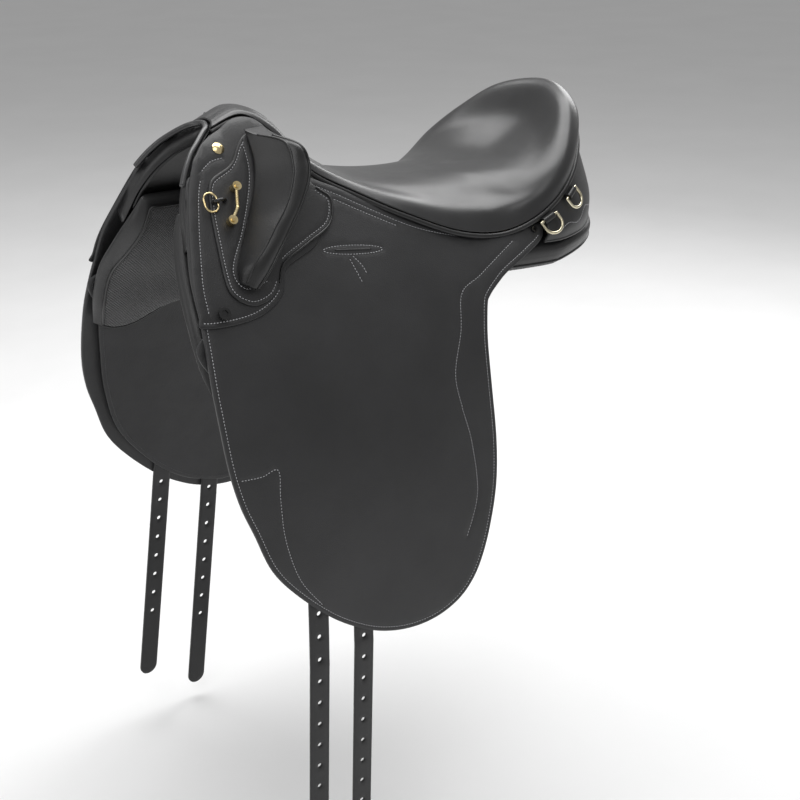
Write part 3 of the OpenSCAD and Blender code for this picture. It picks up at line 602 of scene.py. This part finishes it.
def stitch_parts(line, normals, pitch=3.2, length=2.2, width=0.42, lift=0.1, slant=0.0):
    """Vertices and faces of a row of thread stitches along a line in space."""
    line = np.array(line)
    s = np.concatenate([[0], np.cumsum(np.linalg.norm(np.diff(line, axis=0), axis=1))])
    n = int(s[-1] / pitch)
    verts, faces = [], []
    normals = np.array(normals)
    for i in range(n):
        c = (i + 0.5) * s[-1] / n
        p, q, r = ([np.interp(c + e, s, line[:, k]) for k in range(3)] for e in (0, -length / 2, length / 2))
        p, d = vec(*p), unit(vec(*r) - vec(*q))
        nn = unit(vec(*[np.interp(c, s, normals[:, k]) for k in range(3)]))
        w = unit(np.cross(nn, d))
        d = unit(d + slant * w)
        w = unit(np.cross(nn, d))
        base = len(verts)
        for a, k in STITCH_PROFILE[1:-1]:
            for ang in range(6):
                th = math.pi * ang / 3
                verts.append(p + nn * lift + d * a * length
                             + k * width * (math.cos(th) * w + 0.8 * math.sin(th) * nn) - nn * abs(a) * 0.7)
        for k in (-0.5, 0.5):
            verts.append(p + nn * (lift - 0.35) + d * k * length)
        rows = len(STITCH_PROFILE) - 2
        faces += grid_faces(rows, 6, base, True)
        first, last = base + rows * 6, base + rows * 6 + 1
        faces += [(first, base + (j + 1) % 6, base + j) for j in range(6)]
        faces += [(last, base + (rows - 1) * 6 + j, base + (rows - 1) * 6 + (j + 1) % 6) for j in range(6)]
    return verts, faces


def stitched(name, rows, mirror=False):
    """One mesh of thread from rows of (points, normals, settings)."""
    verts, faces = [], []
    for line, normals, settings in rows:
        v, f = stitch_parts(line, normals, **settings)
        faces += [tuple(i + len(verts) for i in g) for g in f]
        verts += v
    return new_object(name, verts, faces, mirror)


# ---- materials ----
class Nodes:
    def __init__(self, name):
        self.material = bpy.data.materials.new(name)
        self.material.use_nodes = True
        self.tree = self.material.node_tree
        self.tree.nodes.clear()
        self.out = self.add("ShaderNodeOutputMaterial")
        self.shader = self.add("ShaderNodeBsdfPrincipled")
        self.link(self.shader, "BSDF", self.out, "Surface")
        self.place = self.add("ShaderNodeTexCoord")

    def add(self, kind, **values):
        node = self.tree.nodes.new(kind)
        for key, value in values.items():
            if key in node.inputs:
                node.inputs[key].default_value = value
            else:
                setattr(node, key, value)
        return node

    def link(self, a, out, b, into):
        self.tree.links.new(a.outputs[out], b.inputs[into])

    def noise(self, scale, detail=4.0, rough=0.55, stretch=None):
        node = self.add("ShaderNodeTexNoise")
        node.inputs["Scale"].default_value = scale
        node.inputs["Detail"].default_value = detail
        node.inputs["Roughness"].default_value = rough
        self.coords(node, stretch)
        return node

    def coords(self, node, stretch=None, turn=(0, 0, 0)):
        if stretch is None and turn == (0, 0, 0):
            self.link(self.place, "Object", node, "Vector")
            return
        m = self.add("ShaderNodeMapping")
        m.inputs["Scale"].default_value = stretch or (1, 1, 1)
        m.inputs["Rotation"].default_value = turn
        self.link(self.place, "Object", m, "Vector")
        self.link(m, "Vector", node, "Vector")

    def ranged(self, source, out, low, high, from_low=0.3, from_high=0.7):
        node = self.add("ShaderNodeMapRange")
        node.inputs["From Min"].default_value = from_low
        node.inputs["From Max"].default_value = from_high
        node.inputs["To Min"].default_value = low
        node.inputs["To Max"].default_value = high
        self.link(source, out, node, "Value")
        return node

    def colours(self, source, out, stops):
        node = self.add("ShaderNodeValToRGB")
        ramp = node.color_ramp
        while len(ramp.elements) < len(stops):
            ramp.elements.new(0.5)
        for e, (pos, c) in zip(ramp.elements, stops):
            e.position = pos
            e.color = (*c, 1)
        self.link(source, out, node, "Fac")
        self.link(node, "Color", self.shader, "Base Color")
        return node

    def bump(self, source, out, strength, distance, before=None):
        node = self.add("ShaderNodeBump")
        node.inputs["Strength"].default_value = strength
        node.inputs["Distance"].default_value = distance
        self.link(source, out, node, "Height")
        if before:
            self.link(before, "Normal", node, "Normal")
        return node

    def set(self, **values):
        for key, value in values.items():
            self.shader.inputs[key.replace("_", " ")].default_value = value


def leather(name, low, high, rough=0.45, spread=0.06, grain=900, depth=0.35, coat=0.0, coat_rough=0.3,
            specular=0.5, crease=0.15):
    """Dyed leather: pebbled grain, faint wrinkles, patches of deeper colour and of shine."""
    n = Nodes(name)
    patches = n.noise(9, 5, 0.6)
    n.colours(patches, "Fac", [(0.3, low), (0.52, tuple((a + b) / 2 for a, b in zip(low, high))), (0.72, high)])
    shine = n.noise(26, 4, 0.6)
    r = n.ranged(shine, "Fac", rough - spread, rough + spread)
    n.link(r, "Result", n.shader, "Roughness")
    cells = n.add("ShaderNodeTexVoronoi", feature="SMOOTH_F1")
    cells.inputs["Scale"].default_value = grain
    cells.inputs["Smoothness"].default_value = 0.6
    n.coords(cells)
    fine = n.noise(grain * 0.45, 5, 0.6)
    wrinkle = n.noise(70, 6, 0.65, (1, 1, 1.7))
    b1 = n.bump(wrinkle, "Fac", crease, 0.0015)
    b2 = n.bump(fine, "Fac", depth * 0.6, 0.0004, b1)
    b3 = n.bump(cells, "Distance", depth, 0.0005, b2)
    n.link(b3, "Normal", n.shader, "Normal")
    n.set(Specular_IOR_Level=specular, Coat_Weight=coat, Coat_Roughness=coat_rough)
    return n.material


def woven(name, dark, light, scale=900, rough=0.8, depth=0.8, turn=0.78):
    """A diagonal mesh: two crossed sets of ribs with dark gaps between them."""
    n = Nodes(name)
    waves = []
    for k in (turn, -turn):
        w = n.add("ShaderNodeTexWave", wave_type="BANDS", bands_direction="X")
        w.inputs["Scale"].default_value = scale / 6.283
        w.inputs["Distortion"].default_value = 0.25
        w.inputs["Detail"].default_value = 1.0
        n.coords(w, (1, 0.35, 1), (0, k, 0))
        waves.append(w)
    top = n.add("ShaderNodeMath", operation="MAXIMUM")
    n.link(waves[0], "Fac", top, 0)
    n.link(waves[1], "Fac", top, 1)
    n.colours(top, "Value", [(0.35, dark), (0.8, light)])
    b = n.bump(top, "Value", depth, 0.0012)
    fuzz = n.noise(1500, 3, 0.6)
    b2 = n.bump(fuzz, "Fac", 0.3, 0.0003, b)
    n.link(b2, "Normal", n.shader, "Normal")
    n.set(Roughness=rough, Sheen_Weight=0.25, Sheen_Roughness=0.5)
    return n.material


def metal(name, low, high, rough=0.25, spread=0.08, brushed=0.0):
    n = Nodes(name)
    tarnish = n.noise(70, 5, 0.6)
    n.colours(tarnish, "Fac", [(0.3, low), (0.65, high)])
    wear = n.noise(160, 4, 0.6)
    r = n.ranged(wear, "Fac", rough - spread, rough + spread)
    n.link(r, "Result", n.shader, "Roughness")
    marks = n.noise(900, 3, 0.6, (1, 1, 6 if brushed else 1))
    b = n.bump(marks, "Fac", 0.12 + brushed, 0.0002)
    n.link(b, "Normal", n.shader, "Normal")
    n.set(Metallic=1.0)
    return n.material


def plain(name, low, high, rough=0.6, scale=60, depth=0.3, stretch=None, specular=0.4):
    """Foam, canvas or wood: a mottled colour with its own roughness and small bumps."""
    n = Nodes(name)
    spots = n.noise(scale, 6, 0.6, stretch)
    n.colours(spots, "Fac", [(0.3, low), (0.7, high)])
    r = n.ranged(n.noise(scale * 2, 4, 0.6, stretch), "Fac", rough - 0.08, rough + 0.08)
    n.link(r, "Result", n.shader, "Roughness")
    b = n.bump(n.noise(scale * 8, 5, 0.6, stretch), "Fac", depth, 0.0006)
    n.link(b, "Normal", n.shader, "Normal")
    n.set(Specular_IOR_Level=specular)
    return n.material


def grey(v, blue=1.04):
    return (v, v, v * blue)


M = {
    "seat": leather("seat_leather", grey(0.011), grey(0.020), 0.36, 0.05, 1100, 0.16, 0.25, 0.28, 0.55, 0.06),
    "flap": leather("flap_leather", grey(0.019), grey(0.030), 0.46, 0.05, 950, 0.3, 0.0, 0.3, 0.5, 0.12),
    "patch": leather("patch_leather", grey(0.014), grey(0.023), 0.44, 0.05, 950, 0.3, 0.0, 0.3, 0.5, 0.12),
    "pad": leather("pad_leather", grey(0.006), grey(0.011), 0.40, 0.05, 1000, 0.22, 0.12, 0.3, 0.5, 0.12),
    "sweat": leather("sweat_leather", grey(0.020), grey(0.032), 0.5, 0.05, 800, 0.35, 0.0, 0.3, 0.45, 0.2),
    "panel": leather("panel_leather", grey(0.008), grey(0.015), 0.42, 0.05, 900, 0.3, 0.1, 0.3, 0.5, 0.3),
    "trim": leather("trim_leather", grey(0.005), grey(0.010), 0.36, 0.05, 1100, 0.2, 0.15, 0.3, 0.5, 0.1),
    "piping": leather("piping_leather", grey(0.022), grey(0.040), 0.3, 0.05, 1100, 0.15, 0.3, 0.25, 0.6, 0.05),
    "strap": leather("strap_leather", grey(0.010), grey(0.019), 0.42, 0.06, 1000, 0.3, 0.0, 0.3, 0.5, 0.15),
    "back": leather("back_leather", grey(0.012), grey(0.021), 0.42, 0.05, 950, 0.3, 0.05, 0.3, 0.5, 0.12),
    "mesh": woven("panel_mesh", grey(0.006), grey(0.042)),
    "thread": plain("thread", grey(0.34), grey(0.50), 0.75, 900, 0.5),
    "dark_thread": plain("dark_thread", grey(0.06), grey(0.11), 0.75, 900, 0.5),
    "brass": metal("brass", (0.68, 0.52, 0.24), (0.88, 0.74, 0.44), 0.22, 0.08),
    "pale_brass": metal("pale_brass", (0.60, 0.54, 0.38), (0.82, 0.76, 0.58), 0.22, 0.08),
    "steel": metal("steel", (0.42, 0.43, 0.45), (0.62, 0.63, 0.65), 0.35, 0.08, 0.25),
    "black": plain("black_enamel", grey(0.006), grey(0.012), 0.22, 60, 0.05, None, 0.6),
    "wood": plain("tree_wood", (0.26, 0.17, 0.09), (0.42, 0.29, 0.17), 0.6, 40, 0.3, (1, 8, 8)),
    "webbing": woven("webbing", (0.28, 0.25, 0.19), (0.52, 0.47, 0.37), 1600),
    "canvas": woven("canvas", (0.33, 0.30, 0.23), (0.56, 0.51, 0.41), 2400),
    "foam": plain("seat_foam", grey(0.05), grey(0.09), 0.9, 500, 0.8),
}


def dress(obj, key):
    obj.data.materials.clear()
    obj.data.materials.append(M[key])
    return obj


def piece(obj, key, body=ROOT, *nodes):
    dress(obj, key)
    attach(obj, body)
    if nodes:
        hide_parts(*nodes)
    return obj


NODE_LOOKS = {
    "wood": ["tree_frame"],
    "steel": ["gullet_plate", "tree_rivets", "stirrup_bar_near", "stirrup_bar_off", "bar_catch_near",
              "bar_catch_off"],
    "webbing": ["seat_webbing"], "canvas": ["seat_strainer"], "foam": ["seat_foam"],
    "brass": ["pommel_studs", "footmans_loops", "loop_screws", "pommel_ring_near", "pommel_ring_off"],
    "pale_brass": ["dee_near_low", "dee_near_high", "dee_off_low", "dee_off_high"],
    "black": ["ring_staples", "flap_screws"], "trim": ["dee_chapes", "panel_bridge", "tree_head"],
}
for look, names in NODE_LOOKS.items():
    for node_name in names:
        dress(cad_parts[node_name], look)

# ---- camera, light and floor ----
scene = bpy.context.scene
CAMERA_AT = vec(-834, -1289, 445) * MM
AZIMUTH, ELEVATION = math.radians(33.7), math.radians(21.8)
camera = bpy.data.objects.new("camera", bpy.data.cameras.new("camera"))
scene.collection.objects.link(camera)
camera.location = CAMERA_AT
look = Vector((math.sin(AZIMUTH) * math.cos(ELEVATION), math.cos(AZIMUTH) * math.cos(ELEVATION),
               -math.sin(ELEVATION)))
camera.rotation_euler = look.to_track_quat("-Z", "Y").to_euler()
camera.data.sensor_width = 36
camera.data.lens = 36 * 1444 / 800
camera.data.clip_end = 50
scene.camera = camera

FLOOR_Z = -0.62
bpy.ops.mesh.primitive_plane_add(size=30, location=(0, 0, FLOOR_Z))
floor = bpy.context.object
floor.name = "floor"
floor_look = plain("floor_paint", (0.80, 0.80, 0.80), (0.83, 0.83, 0.83), 0.8, 3, 0.02)
floor.data.materials.append(floor_look)


def area(name, place, target, size, power, colour=(1, 1, 1)):
    light = bpy.data.lights.new(name, "AREA")
    light.shape = "RECTANGLE"
    light.size, light.size_y = size
    light.energy = power
    light.color = colour
    obj = bpy.data.objects.new(name, light)
    obj.location = place
    obj.rotation_euler = (Vector(target) - Vector(place)).to_track_quat("-Z", "Y").to_euler()
    scene.collection.objects.link(obj)
    return obj


area("key", (-1.3, -1.5, 1.9), (0, 0, 0), (1.6, 1.6), 18)
area("top", (0.3, 0.55, 2.1), (0, 0, 0), (2.6, 2.0), 70)
area("back", (1.8, 0.9, 1.0), (0.1, 0, 0.1), (1.0, 1.2), 14)
area("left", (-2.2, 0.3, 0.7), (0, 0, 0), (1.0, 1.6), 7)
world = bpy.data.worlds.new("studio")
world.use_nodes = True
sky = world.node_tree.nodes["Background"]
sky.inputs["Color"].default_value = (1, 1, 1, 1)
sky.inputs["Strength"].default_value = 0.38
scene.world = world
scene.view_settings.view_transform = "Standard"

# ---- the seat ----
SEAT_N, SEAT_M = 108, 44


def seat_grid(d):
    rows = []
    for u in steps(0, LAST, SEAT_N):
        half = [seat_pt(u, t, d) for t in steps(0, 1, SEAT_M)]
        if u >= LAST:
            half = [vec(p[0], 0, p[2]) for p in half]
        rows.append([flip_y(p) for p in half[:0:-1]] + half)
    return rows


seat = piece(weld(slab("seat_leather_cover", seat_grid(0), seat_grid(-COVER_T))), "seat", ROOT, "seat_cover")
# the two halves of the slab meet at the middle: the wall between them is inside the leather
inner = bmesh.new()
inner.from_mesh(seat.data)
middle_faces = [f for f in inner.faces if all(abs(v.co.y) < 1e-6 for v in f.verts)]
bmesh.ops.delete(inner, geom=middle_faces, context="FACES")
inner.to_mesh(seat.data)
inner.free()


def welt_point(u):
    p, q = seat_round(u, 1), seat_round(u, 1, -COVER_T)
    return vec(p[0], p[1], min(p[2], q[2]) - WELT_R - GAP)


piece(tube("seat_welt_cord", [welt_point(u) for u in steps(0, 2 * LAST, 220)], WELT_R, 14), "trim", ROOT,
      "seat_welt")

# ---- the leathers of each side ----
FLAP_OUTLINE = [(-249, 132), (-260, 110), (-269, 86), (-279, 50), (-282, 12), (-285, -20), (-287, -54),
                (-286, -112), (-280, -151), (-269, -184), (-255, -223), (-231, -255), (-194, -290),
                (-158, -313), (-126, -325), (-94, -329), (-64, -325), (-38, -313), (-19, -294), (-5, -268),
                (7, -234), (16, -198), (21, -156), (24, -100), (29, -55), (38, -22), (44, -13), (56, -3),
                (70, 7), (97, 22), (121, 36), (122, 49), (96, 47), (70, 41), (32, 47), (-6, 61), (-35, 73),
                (-59, 84), (-92, 103), (-118, 118), (-140, 130), (-200, 134)]
REAR_LINE = [(85, 35), (40, 8), (10, -6), (-2, -40), (-19, -80), (-17, -115), (-11, -150), (-10, -205),
             (-27, -248)]
FRONT_CORNER = [(-276, -129), (-254, -130), (-236, -128), (-238, -156), (-238, -196), (-227, -239),
                (-205, -272)]
WELT_ROW = [(-120, 111), (-75, 86), (-25, 61), (20, 47), (60, 40), (98, 44)]
WELT_ROW_2 = [(-105, 96), (-75, 80), (-43, 64)]
# the stirrup slit: a long oval of stitches that falls to the rear, with a short stem below it
SLIT_MIDDLE, SLIT_REACH, SLIT_HALF, SLIT_SLOPE, SLIT_CUT = (-101, 50), 33, 4, -0.11, 20
SLIT_STEM = [[(-104, 45), (-97, 36), (-94, 28)], [(-108, 43), (-105, 32), (-102, 21)]]
PATCH_OUTLINE = [(-122, 109), (-110, 95), (-120, 74), (-150, 61), (-182, 48), (-193, 33), (-205, 22),
                 (-226, 18), (-243, 27), (-248, 42), (-244, 80), (-240, 105), (-232, 125), (-207, 136),
                 (-188, 152), (-170, 153), (-150, 140)]
PATCH_INNER_ROW = [(-188, 148), (-191, 122), (-214, 82), (-237, 50), (-230, 33), (-205, 36)]
FACING_OUTLINE = [(-283, 8), (-245, 6), (-215, 11), (-192, 24), (-180, 44), (-140, 60), (-124, 84),
                  (-122, 108), (-136, 142), (-160, 162), (-190, 168), (-220, 161), (-238, 148), (-249, 133),
                  (-260, 110), (-279, 50), (-283, 20)]
FACING_SHORT_ROW = [(-237, 134), (-226, 141), (-211, 143)]
SWEAT_OUTLINE = [(-266, 6), (-272, -52), (-268, -104), (-261, -158), (-243, -216), (-200, -270),
                 (-160, -300), (-120, -314), (-98, -316), (-75, -314), (-42, -300), (-14, -270), (2, -216),
                 (10, -158), (13, -104), (16, -52), (21, 6)]


def sharp(points, pitch=2.0, closed=True):
    """A smooth outline that keeps the corners given as repeated points."""
    return through(points, pitch, closed)


def inset(points, by, first, last):
    """A line a set distance inside part of an outline."""
    line = sharp(points)
    area2 = np.sum(line[:, 0] * np.roll(line[:, 1], -1) - np.roll(line[:, 0], -1) * line[:, 1])
    moved = shift_line(line, by if area2 > 0 else -by, True)
    a = int(np.argmin(np.linalg.norm(line - np.array(first), axis=1)))
    b = int(np.argmin(np.linalg.norm(line - np.array(last), axis=1)))
    return moved[a:b + 1] if a <= b else np.concatenate([moved[a:], moved[:b + 1]])


def side_rows(lines, d, normal_sign=1, **settings):
    rows = []
    for line in lines:
        p = [side(a, b, d) for a, b in line]
        rows.append((p, [normal_sign * side_normal(a, b) for a, b in line], settings))
    return rows


def slit_point(along, up):
    """A place by the stirrup slit, measured along its slope and up from it."""
    return SLIT_MIDDLE[0] + along, SLIT_MIDDLE[1] + SLIT_SLOPE * along + up


flap_line = sharp(FLAP_OUTLINE)
patch_line = sharp(PATCH_OUTLINE)
facing_line = sharp(FACING_OUTLINE)
sweat_line = sharp(SWEAT_OUTLINE)
edge_row = inset(FLAP_OUTLINE, 4.5, (-282, 10), (119, 36))
flap_rows = [edge_row] + [through(p) for p in (REAR_LINE, FRONT_CORNER, WELT_ROW, WELT_ROW_2, *SLIT_STEM)]
flap_rows.append(np.array([slit_point(SLIT_REACH * math.cos(t), SLIT_HALF * math.sin(t))
                           for t in steps(0, 2 * math.pi, 48)]))
facing_rows = [inset(FACING_OUTLINE, 4.5, (-283, 8), (-192, 24)),
               inset(FACING_OUTLINE, 10, (-249, 133), (-283, 20)), through(FACING_SHORT_ROW)]
patch_rows = [inset(PATCH_OUTLINE, 3.6, (-193, 33), (-188, 152)),
              inset(PATCH_OUTLINE, 4, (-122, 109), (-182, 48)), through(PATCH_INNER_ROW)]
patch_binding = inset(PATCH_OUTLINE, 0.5, (-122, 109), (-193, 33))
sweat_rows = [inset(SWEAT_OUTLINE, 4.5, (-266, 6), (21, 6))]


def flap_bends(obj):
    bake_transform(obj)


for name, sign in SIDES.items():
    mirror = sign == NEAR
    flap = leaf(f"flap_leather_{name}", flap_line, side, 0, FLAP_T, 5.5, flap_rows, mirror=mirror)
    dress(flap, "flap")
    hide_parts(f"flap_{name}", f"flap_top_{name}")
    flap_bends(flap)
    thread = stitched(f"flap_stitching_{name}", side_rows(flap_rows, -0.1), mirror)
    dress(thread, "thread")
    flap_bends(thread)
    piece(leaf(f"facing_leather_{name}", facing_line, side, FACING_D, LEAF_T, 5, facing_rows, mirror=mirror),
          "patch", ROOT, f"facing_{name}")
    cut = [side(*slit_point(a, 0), 0.15) for a in steps(-SLIT_CUT, SLIT_CUT, 20)]
    slit = dress(tube(f"stirrup_slit_edge_{name}", cut, 0.8, 8, mirror), "trim")
    flap_bends(slit)
    piece(tube(f"knee_patch_binding_{name}", [side(x, z, PATCH_D + 0.2) for x, z in patch_binding], 1.1, 10,
               mirror), "trim")
    piece(stitched(f"facing_stitching_{name}", side_rows(facing_rows, FACING_D - 0.1), mirror), "thread")
    piece(leaf(f"knee_patch_leather_{name}", patch_line, side, PATCH_D, LEAF_T, 5, patch_rows, mirror=mirror),
          "patch", ROOT, f"knee_patch_{name}")
    piece(stitched(f"knee_patch_stitching_{name}", side_rows(patch_rows, PATCH_D - 0.1), mirror), "thread")
    piece(leaf(f"sweat_flap_leather_{name}", sweat_line, side, SWEAT_D, SWEAT_T, 6, (), mirror=mirror), "sweat",
          ROOT, f"sweat_flap_{name}")
    piece(stitched(f"sweat_flap_stitching_{name}", side_rows(sweat_rows, SWEAT_D - SWEAT_T - 0.05, -1), mirror),
          "dark_thread")

# ---- knee pads ----
PAD_N = 72
FACE_CROWN, TOP_CROWN, GUSSET_CROWN = 1.5, 3.5, 1.5


def chaikin(ring, rounds=2):
    r = np.array(ring)
    for _ in range(rounds):
        nxt = np.roll(r, -1, axis=0)
        r = np.stack([r * 0.75 + nxt * 0.25, r * 0.25 + nxt * 0.75], 1).reshape(-1, 3)
    return r


def pad_ring(u):
    a, r, g, b = pad_at(u)
    base = (a + b) / 2
    out = []
    for p, q, crown, n in ((a, r, FACE_CROWN, 7), (r, g, TOP_CROWN, 6), (g, b, GUSSET_CROWN, 7)):
        away = unit((p + q) / 2 - (base * 2 + r + g) / 4)
        for k in range(n):
            f = k / n
            out.append(p + (q - p) * f + away * crown * 4 * f * (1 - f))
    for f in (0.0, 0.2, 0.4, 0.6, 0.8):
        out.append(b + (a - b) * f)
    return out


def capped_rings(rings, height_first, height_last, n=6):
    """Rounded ends for a skin: rings that shrink towards their middles."""
    rings = [np.array(r) for r in rings]
    c0, c1 = rings[0].mean(0), rings[-1].mean(0)
    d0, d1 = unit(c0 - rings[3].mean(0)), unit(c1 - rings[-4].mean(0))
    first = [c0 + (rings[0] - c0) * math.cos(f) + d0 * height_first * math.sin(f)
             for f in steps(math.radians(86), math.radians(86) / n, n - 1)]
    last = [c1 + (rings[-1] - c1) * math.cos(f) + d1 * height_last * math.sin(f)
            for f in steps(math.radians(86) / n, math.radians(86), n - 1)]
    return first + rings + last


for name, sign in SIDES.items():
    mirror = sign == NEAR
    rings = [chaikin(pad_ring(u)) for u in steps(0, len(PAD_RINGS) - 1, PAD_N)]
    pad = piece(skin(f"knee_pad_cushion_{name}", capped_rings(rings, 4, 3), mirror), "pad", ROOT,
                f"knee_pad_{name}")
    ridge, rear = [], []
    for u in steps(0.05, len(PAD_RINGS) - 1.05, 90):
        a, r, g, b = pad_at(u)
        base = (a + b) / 2
        ridge.append(r + unit(r - base) * -0.3)
        rear.append(g + unit(g - base) * 0.2)
    piece(tube(f"knee_pad_piping_{name}", rear, 1.5, 10, mirror), "trim", ROOT, f"knee_pad_welt_{name}")
    piece(tube(f"knee_pad_ridge_{name}", ridge, 1.2, 10, mirror), "pad")

# ---- panels ----
PANEL_A = [0.5 - 0.5 * math.cos(math.pi * k / 60) for k in range(61)]
PANEL_A = sorted(set([round(a, 5) for a in PANEL_A] + [round(a, 5) for a in steps(0, 1, 70)]))
NOSE_ROUND, TAIL_ROUND = 0.02, 0.05


def panel_ring(a):
    k = 1.0
    if a < NOSE_ROUND:
        k = math.sqrt(max(0.0, 1 - (1 - a / NOSE_ROUND) ** 2))
    if a > 1 - TAIL_ROUND:
        k = math.sqrt(max(0.0, 1 - ((a - 1 + TAIL_ROUND) / TAIL_ROUND) ** 2))
    k = max(k, 0.06)
    outer, inner = [], []
    for v in steps(0, 1, 16):
        x = panel_x(a, v)
        o = panel_out(x, v)
        thick = spline(panel_in_line(x), 5 * v)
        i = o + (thick - o) * max(0.55, 0.4 + 0.6 * smooth((x - PANEL_NOSE[3]) / 30))
        mid = (o + i) / 2
        outer.append(mid + (o - mid) * k)
        inner.append(mid + (i - mid) * k)
    return chaikin(outer + inner[::-1], 2)


for name, sign in SIDES.items():
    mirror = sign == NEAR
    panel = piece(skin(f"panel_cushion_{name}", [panel_ring(a) for a in PANEL_A], mirror), "panel", ROOT,
                  f"panel_{name}")

    def lining(a, v, d):
        x = panel_x(a, v)
        o, i = panel_out(x, v), panel_in(x, v)
        return i + d * unit(i - o)

    la, lv = steps(0.018, 0.955, 100), steps(0.05, 0.975, 28)
    piece(slab(f"panel_mesh_lining_{name}", [[lining(a, v, 1.2) for v in lv] for a in la],
               [[lining(a, v, -1.5) for v in lv] for a in la], mirror), "mesh", ROOT, f"panel_lining_{name}")
    border = ([lining(a, lv[-1], 0.9) for a in la] + [lining(la[-1], v, 0.9) for v in reversed(lv)]
              + [lining(a, lv[0], 0.9) for a in reversed(la)] + [lining(la[0], v, 0.9) for v in lv])
    piece(tube(f"panel_mesh_piping_{name}", resample(border, 4, True), 1.5, 8, mirror, closed=True), "trim")

# ---- pommel arch ----
HEAD_D, HEAD_T, PLATE_T, LINING_T = -5, 11, 2.4, 3
FACE_D, FACE_T, FACE_REACH = -4.9, 16.5, 8.2
LINING_D = HEAD_D - HEAD_T - GAP - PLATE_T - GAP


def arch_sheet(name, d, t, reach, x0, x1, n, m, key, *nodes):
    def grid(depth):
        return [[side_u(arch_x(u) + x, u, depth) for x in steps(x0, x1, m)] for u in steps(-reach, reach, n)]
    return piece(slab(name, grid(d), grid(d - t)), key, ROOT, *nodes)


arch_sheet("pommel_lining_leather", LINING_D, LINING_T, 7.4, 3, 49, 80, 10, "trim", "pommel_lining")
arch_sheet("arch_face_leather", FACE_D, FACE_T, FACE_REACH, 0.2, 2, 80, 2, "panel", "gullet_face")
PIPING_R, PIPING_REACH, SOFT_GAP = 3, 5.7, 1.1
arch_edge = [side_u(arch_x(u) - PIPING_R - SOFT_GAP, u, -PIPING_R)
             for u in steps(-PIPING_REACH, PIPING_REACH, 120)]
piece(tube("arch_piping_cord", arch_edge, PIPING_R, 12), "piping", ROOT, "arch_piping")

# ---- the leather at the back ----
BACK_N, BACK_M = 120, 20
back_s = steps(BACK_START, 2 * LAST - BACK_START, BACK_N)
BACK_T = 2.5
outer_back = [[back_round(s, v) for v in steps(0, 1, BACK_M)] for s in back_s]
inner_back = [[back_round(s, v, -BACK_T) for v in steps(0, 1, BACK_M)] for s in back_s]
piece(slab("cantle_leather", outer_back, inner_back), "back", ROOT, "cantle_facing")

foot = [back_round(s, 1, -1.2) for s in back_s]
piece(tube("cantle_leather_binding", foot, 1.9, 10), "trim")
for name, sign in SIDES.items():
    wave, ways = [], []
    for s in steps(BACK_START + 0.1, LAST - 0.3, 90):
        v = 0.66 + 0.06 * math.sin(2 * math.pi * (s - BACK_START) * 1.1)
        wave.append(back_round(s, v, 0.1))
        ways.append(unit(back_round(s, v, 1) - back_round(s, v, 0)))
    piece(stitched(f"cantle_stitching_{name}", [(wave, ways, {})], sign == NEAR), "thread")

# ---- girth straps ----
STRAPS = {
    ("near", "front"): (-190, -210, -216, -564, -483, -345.5),
    ("near", "rear"): (-140, -157, -164, -600, -522.5, -336),
    ("off", "front"): (-160, -192, -223, -564, -476, -338),
    ("off", "rear"): (-100, -125, -158, -600, -501, -337)}
STRAP_TOP_Z, HOLE_TOP_Z, HOLE_PITCH, HOLE_R = 24, -280, 25, 2.5
FOLD_SPREAD = 12
for (name, place), (x0, x1, x2, tip, low_hole, fold) in STRAPS.items():
    mirror = name == "near"
    middle_y = side(0, fold, STRAP_D - STRAP_T / 2)[1]

    def along(z, x0=x0, x1=x1, x2=x2, tip=tip, fold=fold):
        if z > fold:
            return x0 + (x1 - x0) * (STRAP_TOP_Z - z) / (STRAP_TOP_Z - fold)
        return x1 + (x2 - x1) * (fold - z) / (fold - tip)

    def strap_place(w, z, d, fold=fold, middle_y=middle_y, along=along):
        x = along(z) + w
        k = smooth((fold + FOLD_SPREAD - z) / FOLD_SPREAD)
        upper = side(x, max(z, fold), STRAP_D + d)
        lower = vec(x, middle_y + STRAP_T / 2 + d, z)
        return vec(x, upper[1] * (1 - k) + lower[1] * k, z if z < fold else upper[2] * (1 - k) + z * k)

    half = STRAP_W / 2
    outline = ([(-half, z) for z in np.arange(STRAP_TOP_Z, tip + half, -4)]
               + [(-half * math.cos(t), tip + half - half * math.sin(t)) for t in steps(0, math.pi, 18)]
               + [(half, z) for z in np.arange(tip + half + 2, STRAP_TOP_Z, 4)] + [(half, STRAP_TOP_Z)])
    outline = resample(outline, 2.5, True)
    holes = [np.array(circle(0, low_hole + HOLE_PITCH * h, HOLE_R, 18)) for h in range(13)
             if low_hole + HOLE_PITCH * h < HOLE_TOP_Z]
    lines = [[(w, z) for z in np.arange(tip + 14, STRAP_TOP_Z - 4, 3)] for w in (-half + 2.6, half - 2.6)]
    strap = leaf(f"girth_strap_leather_{name}_{place}", outline, strap_place, 0, STRAP_T, 4.5, lines, holes,
                 mirror, crease_depth=0.35)
    dress(strap, "strap")
    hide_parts(f"strap_top_{name}_{place}", f"girth_strap_{name}_{place}")
    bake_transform(strap)
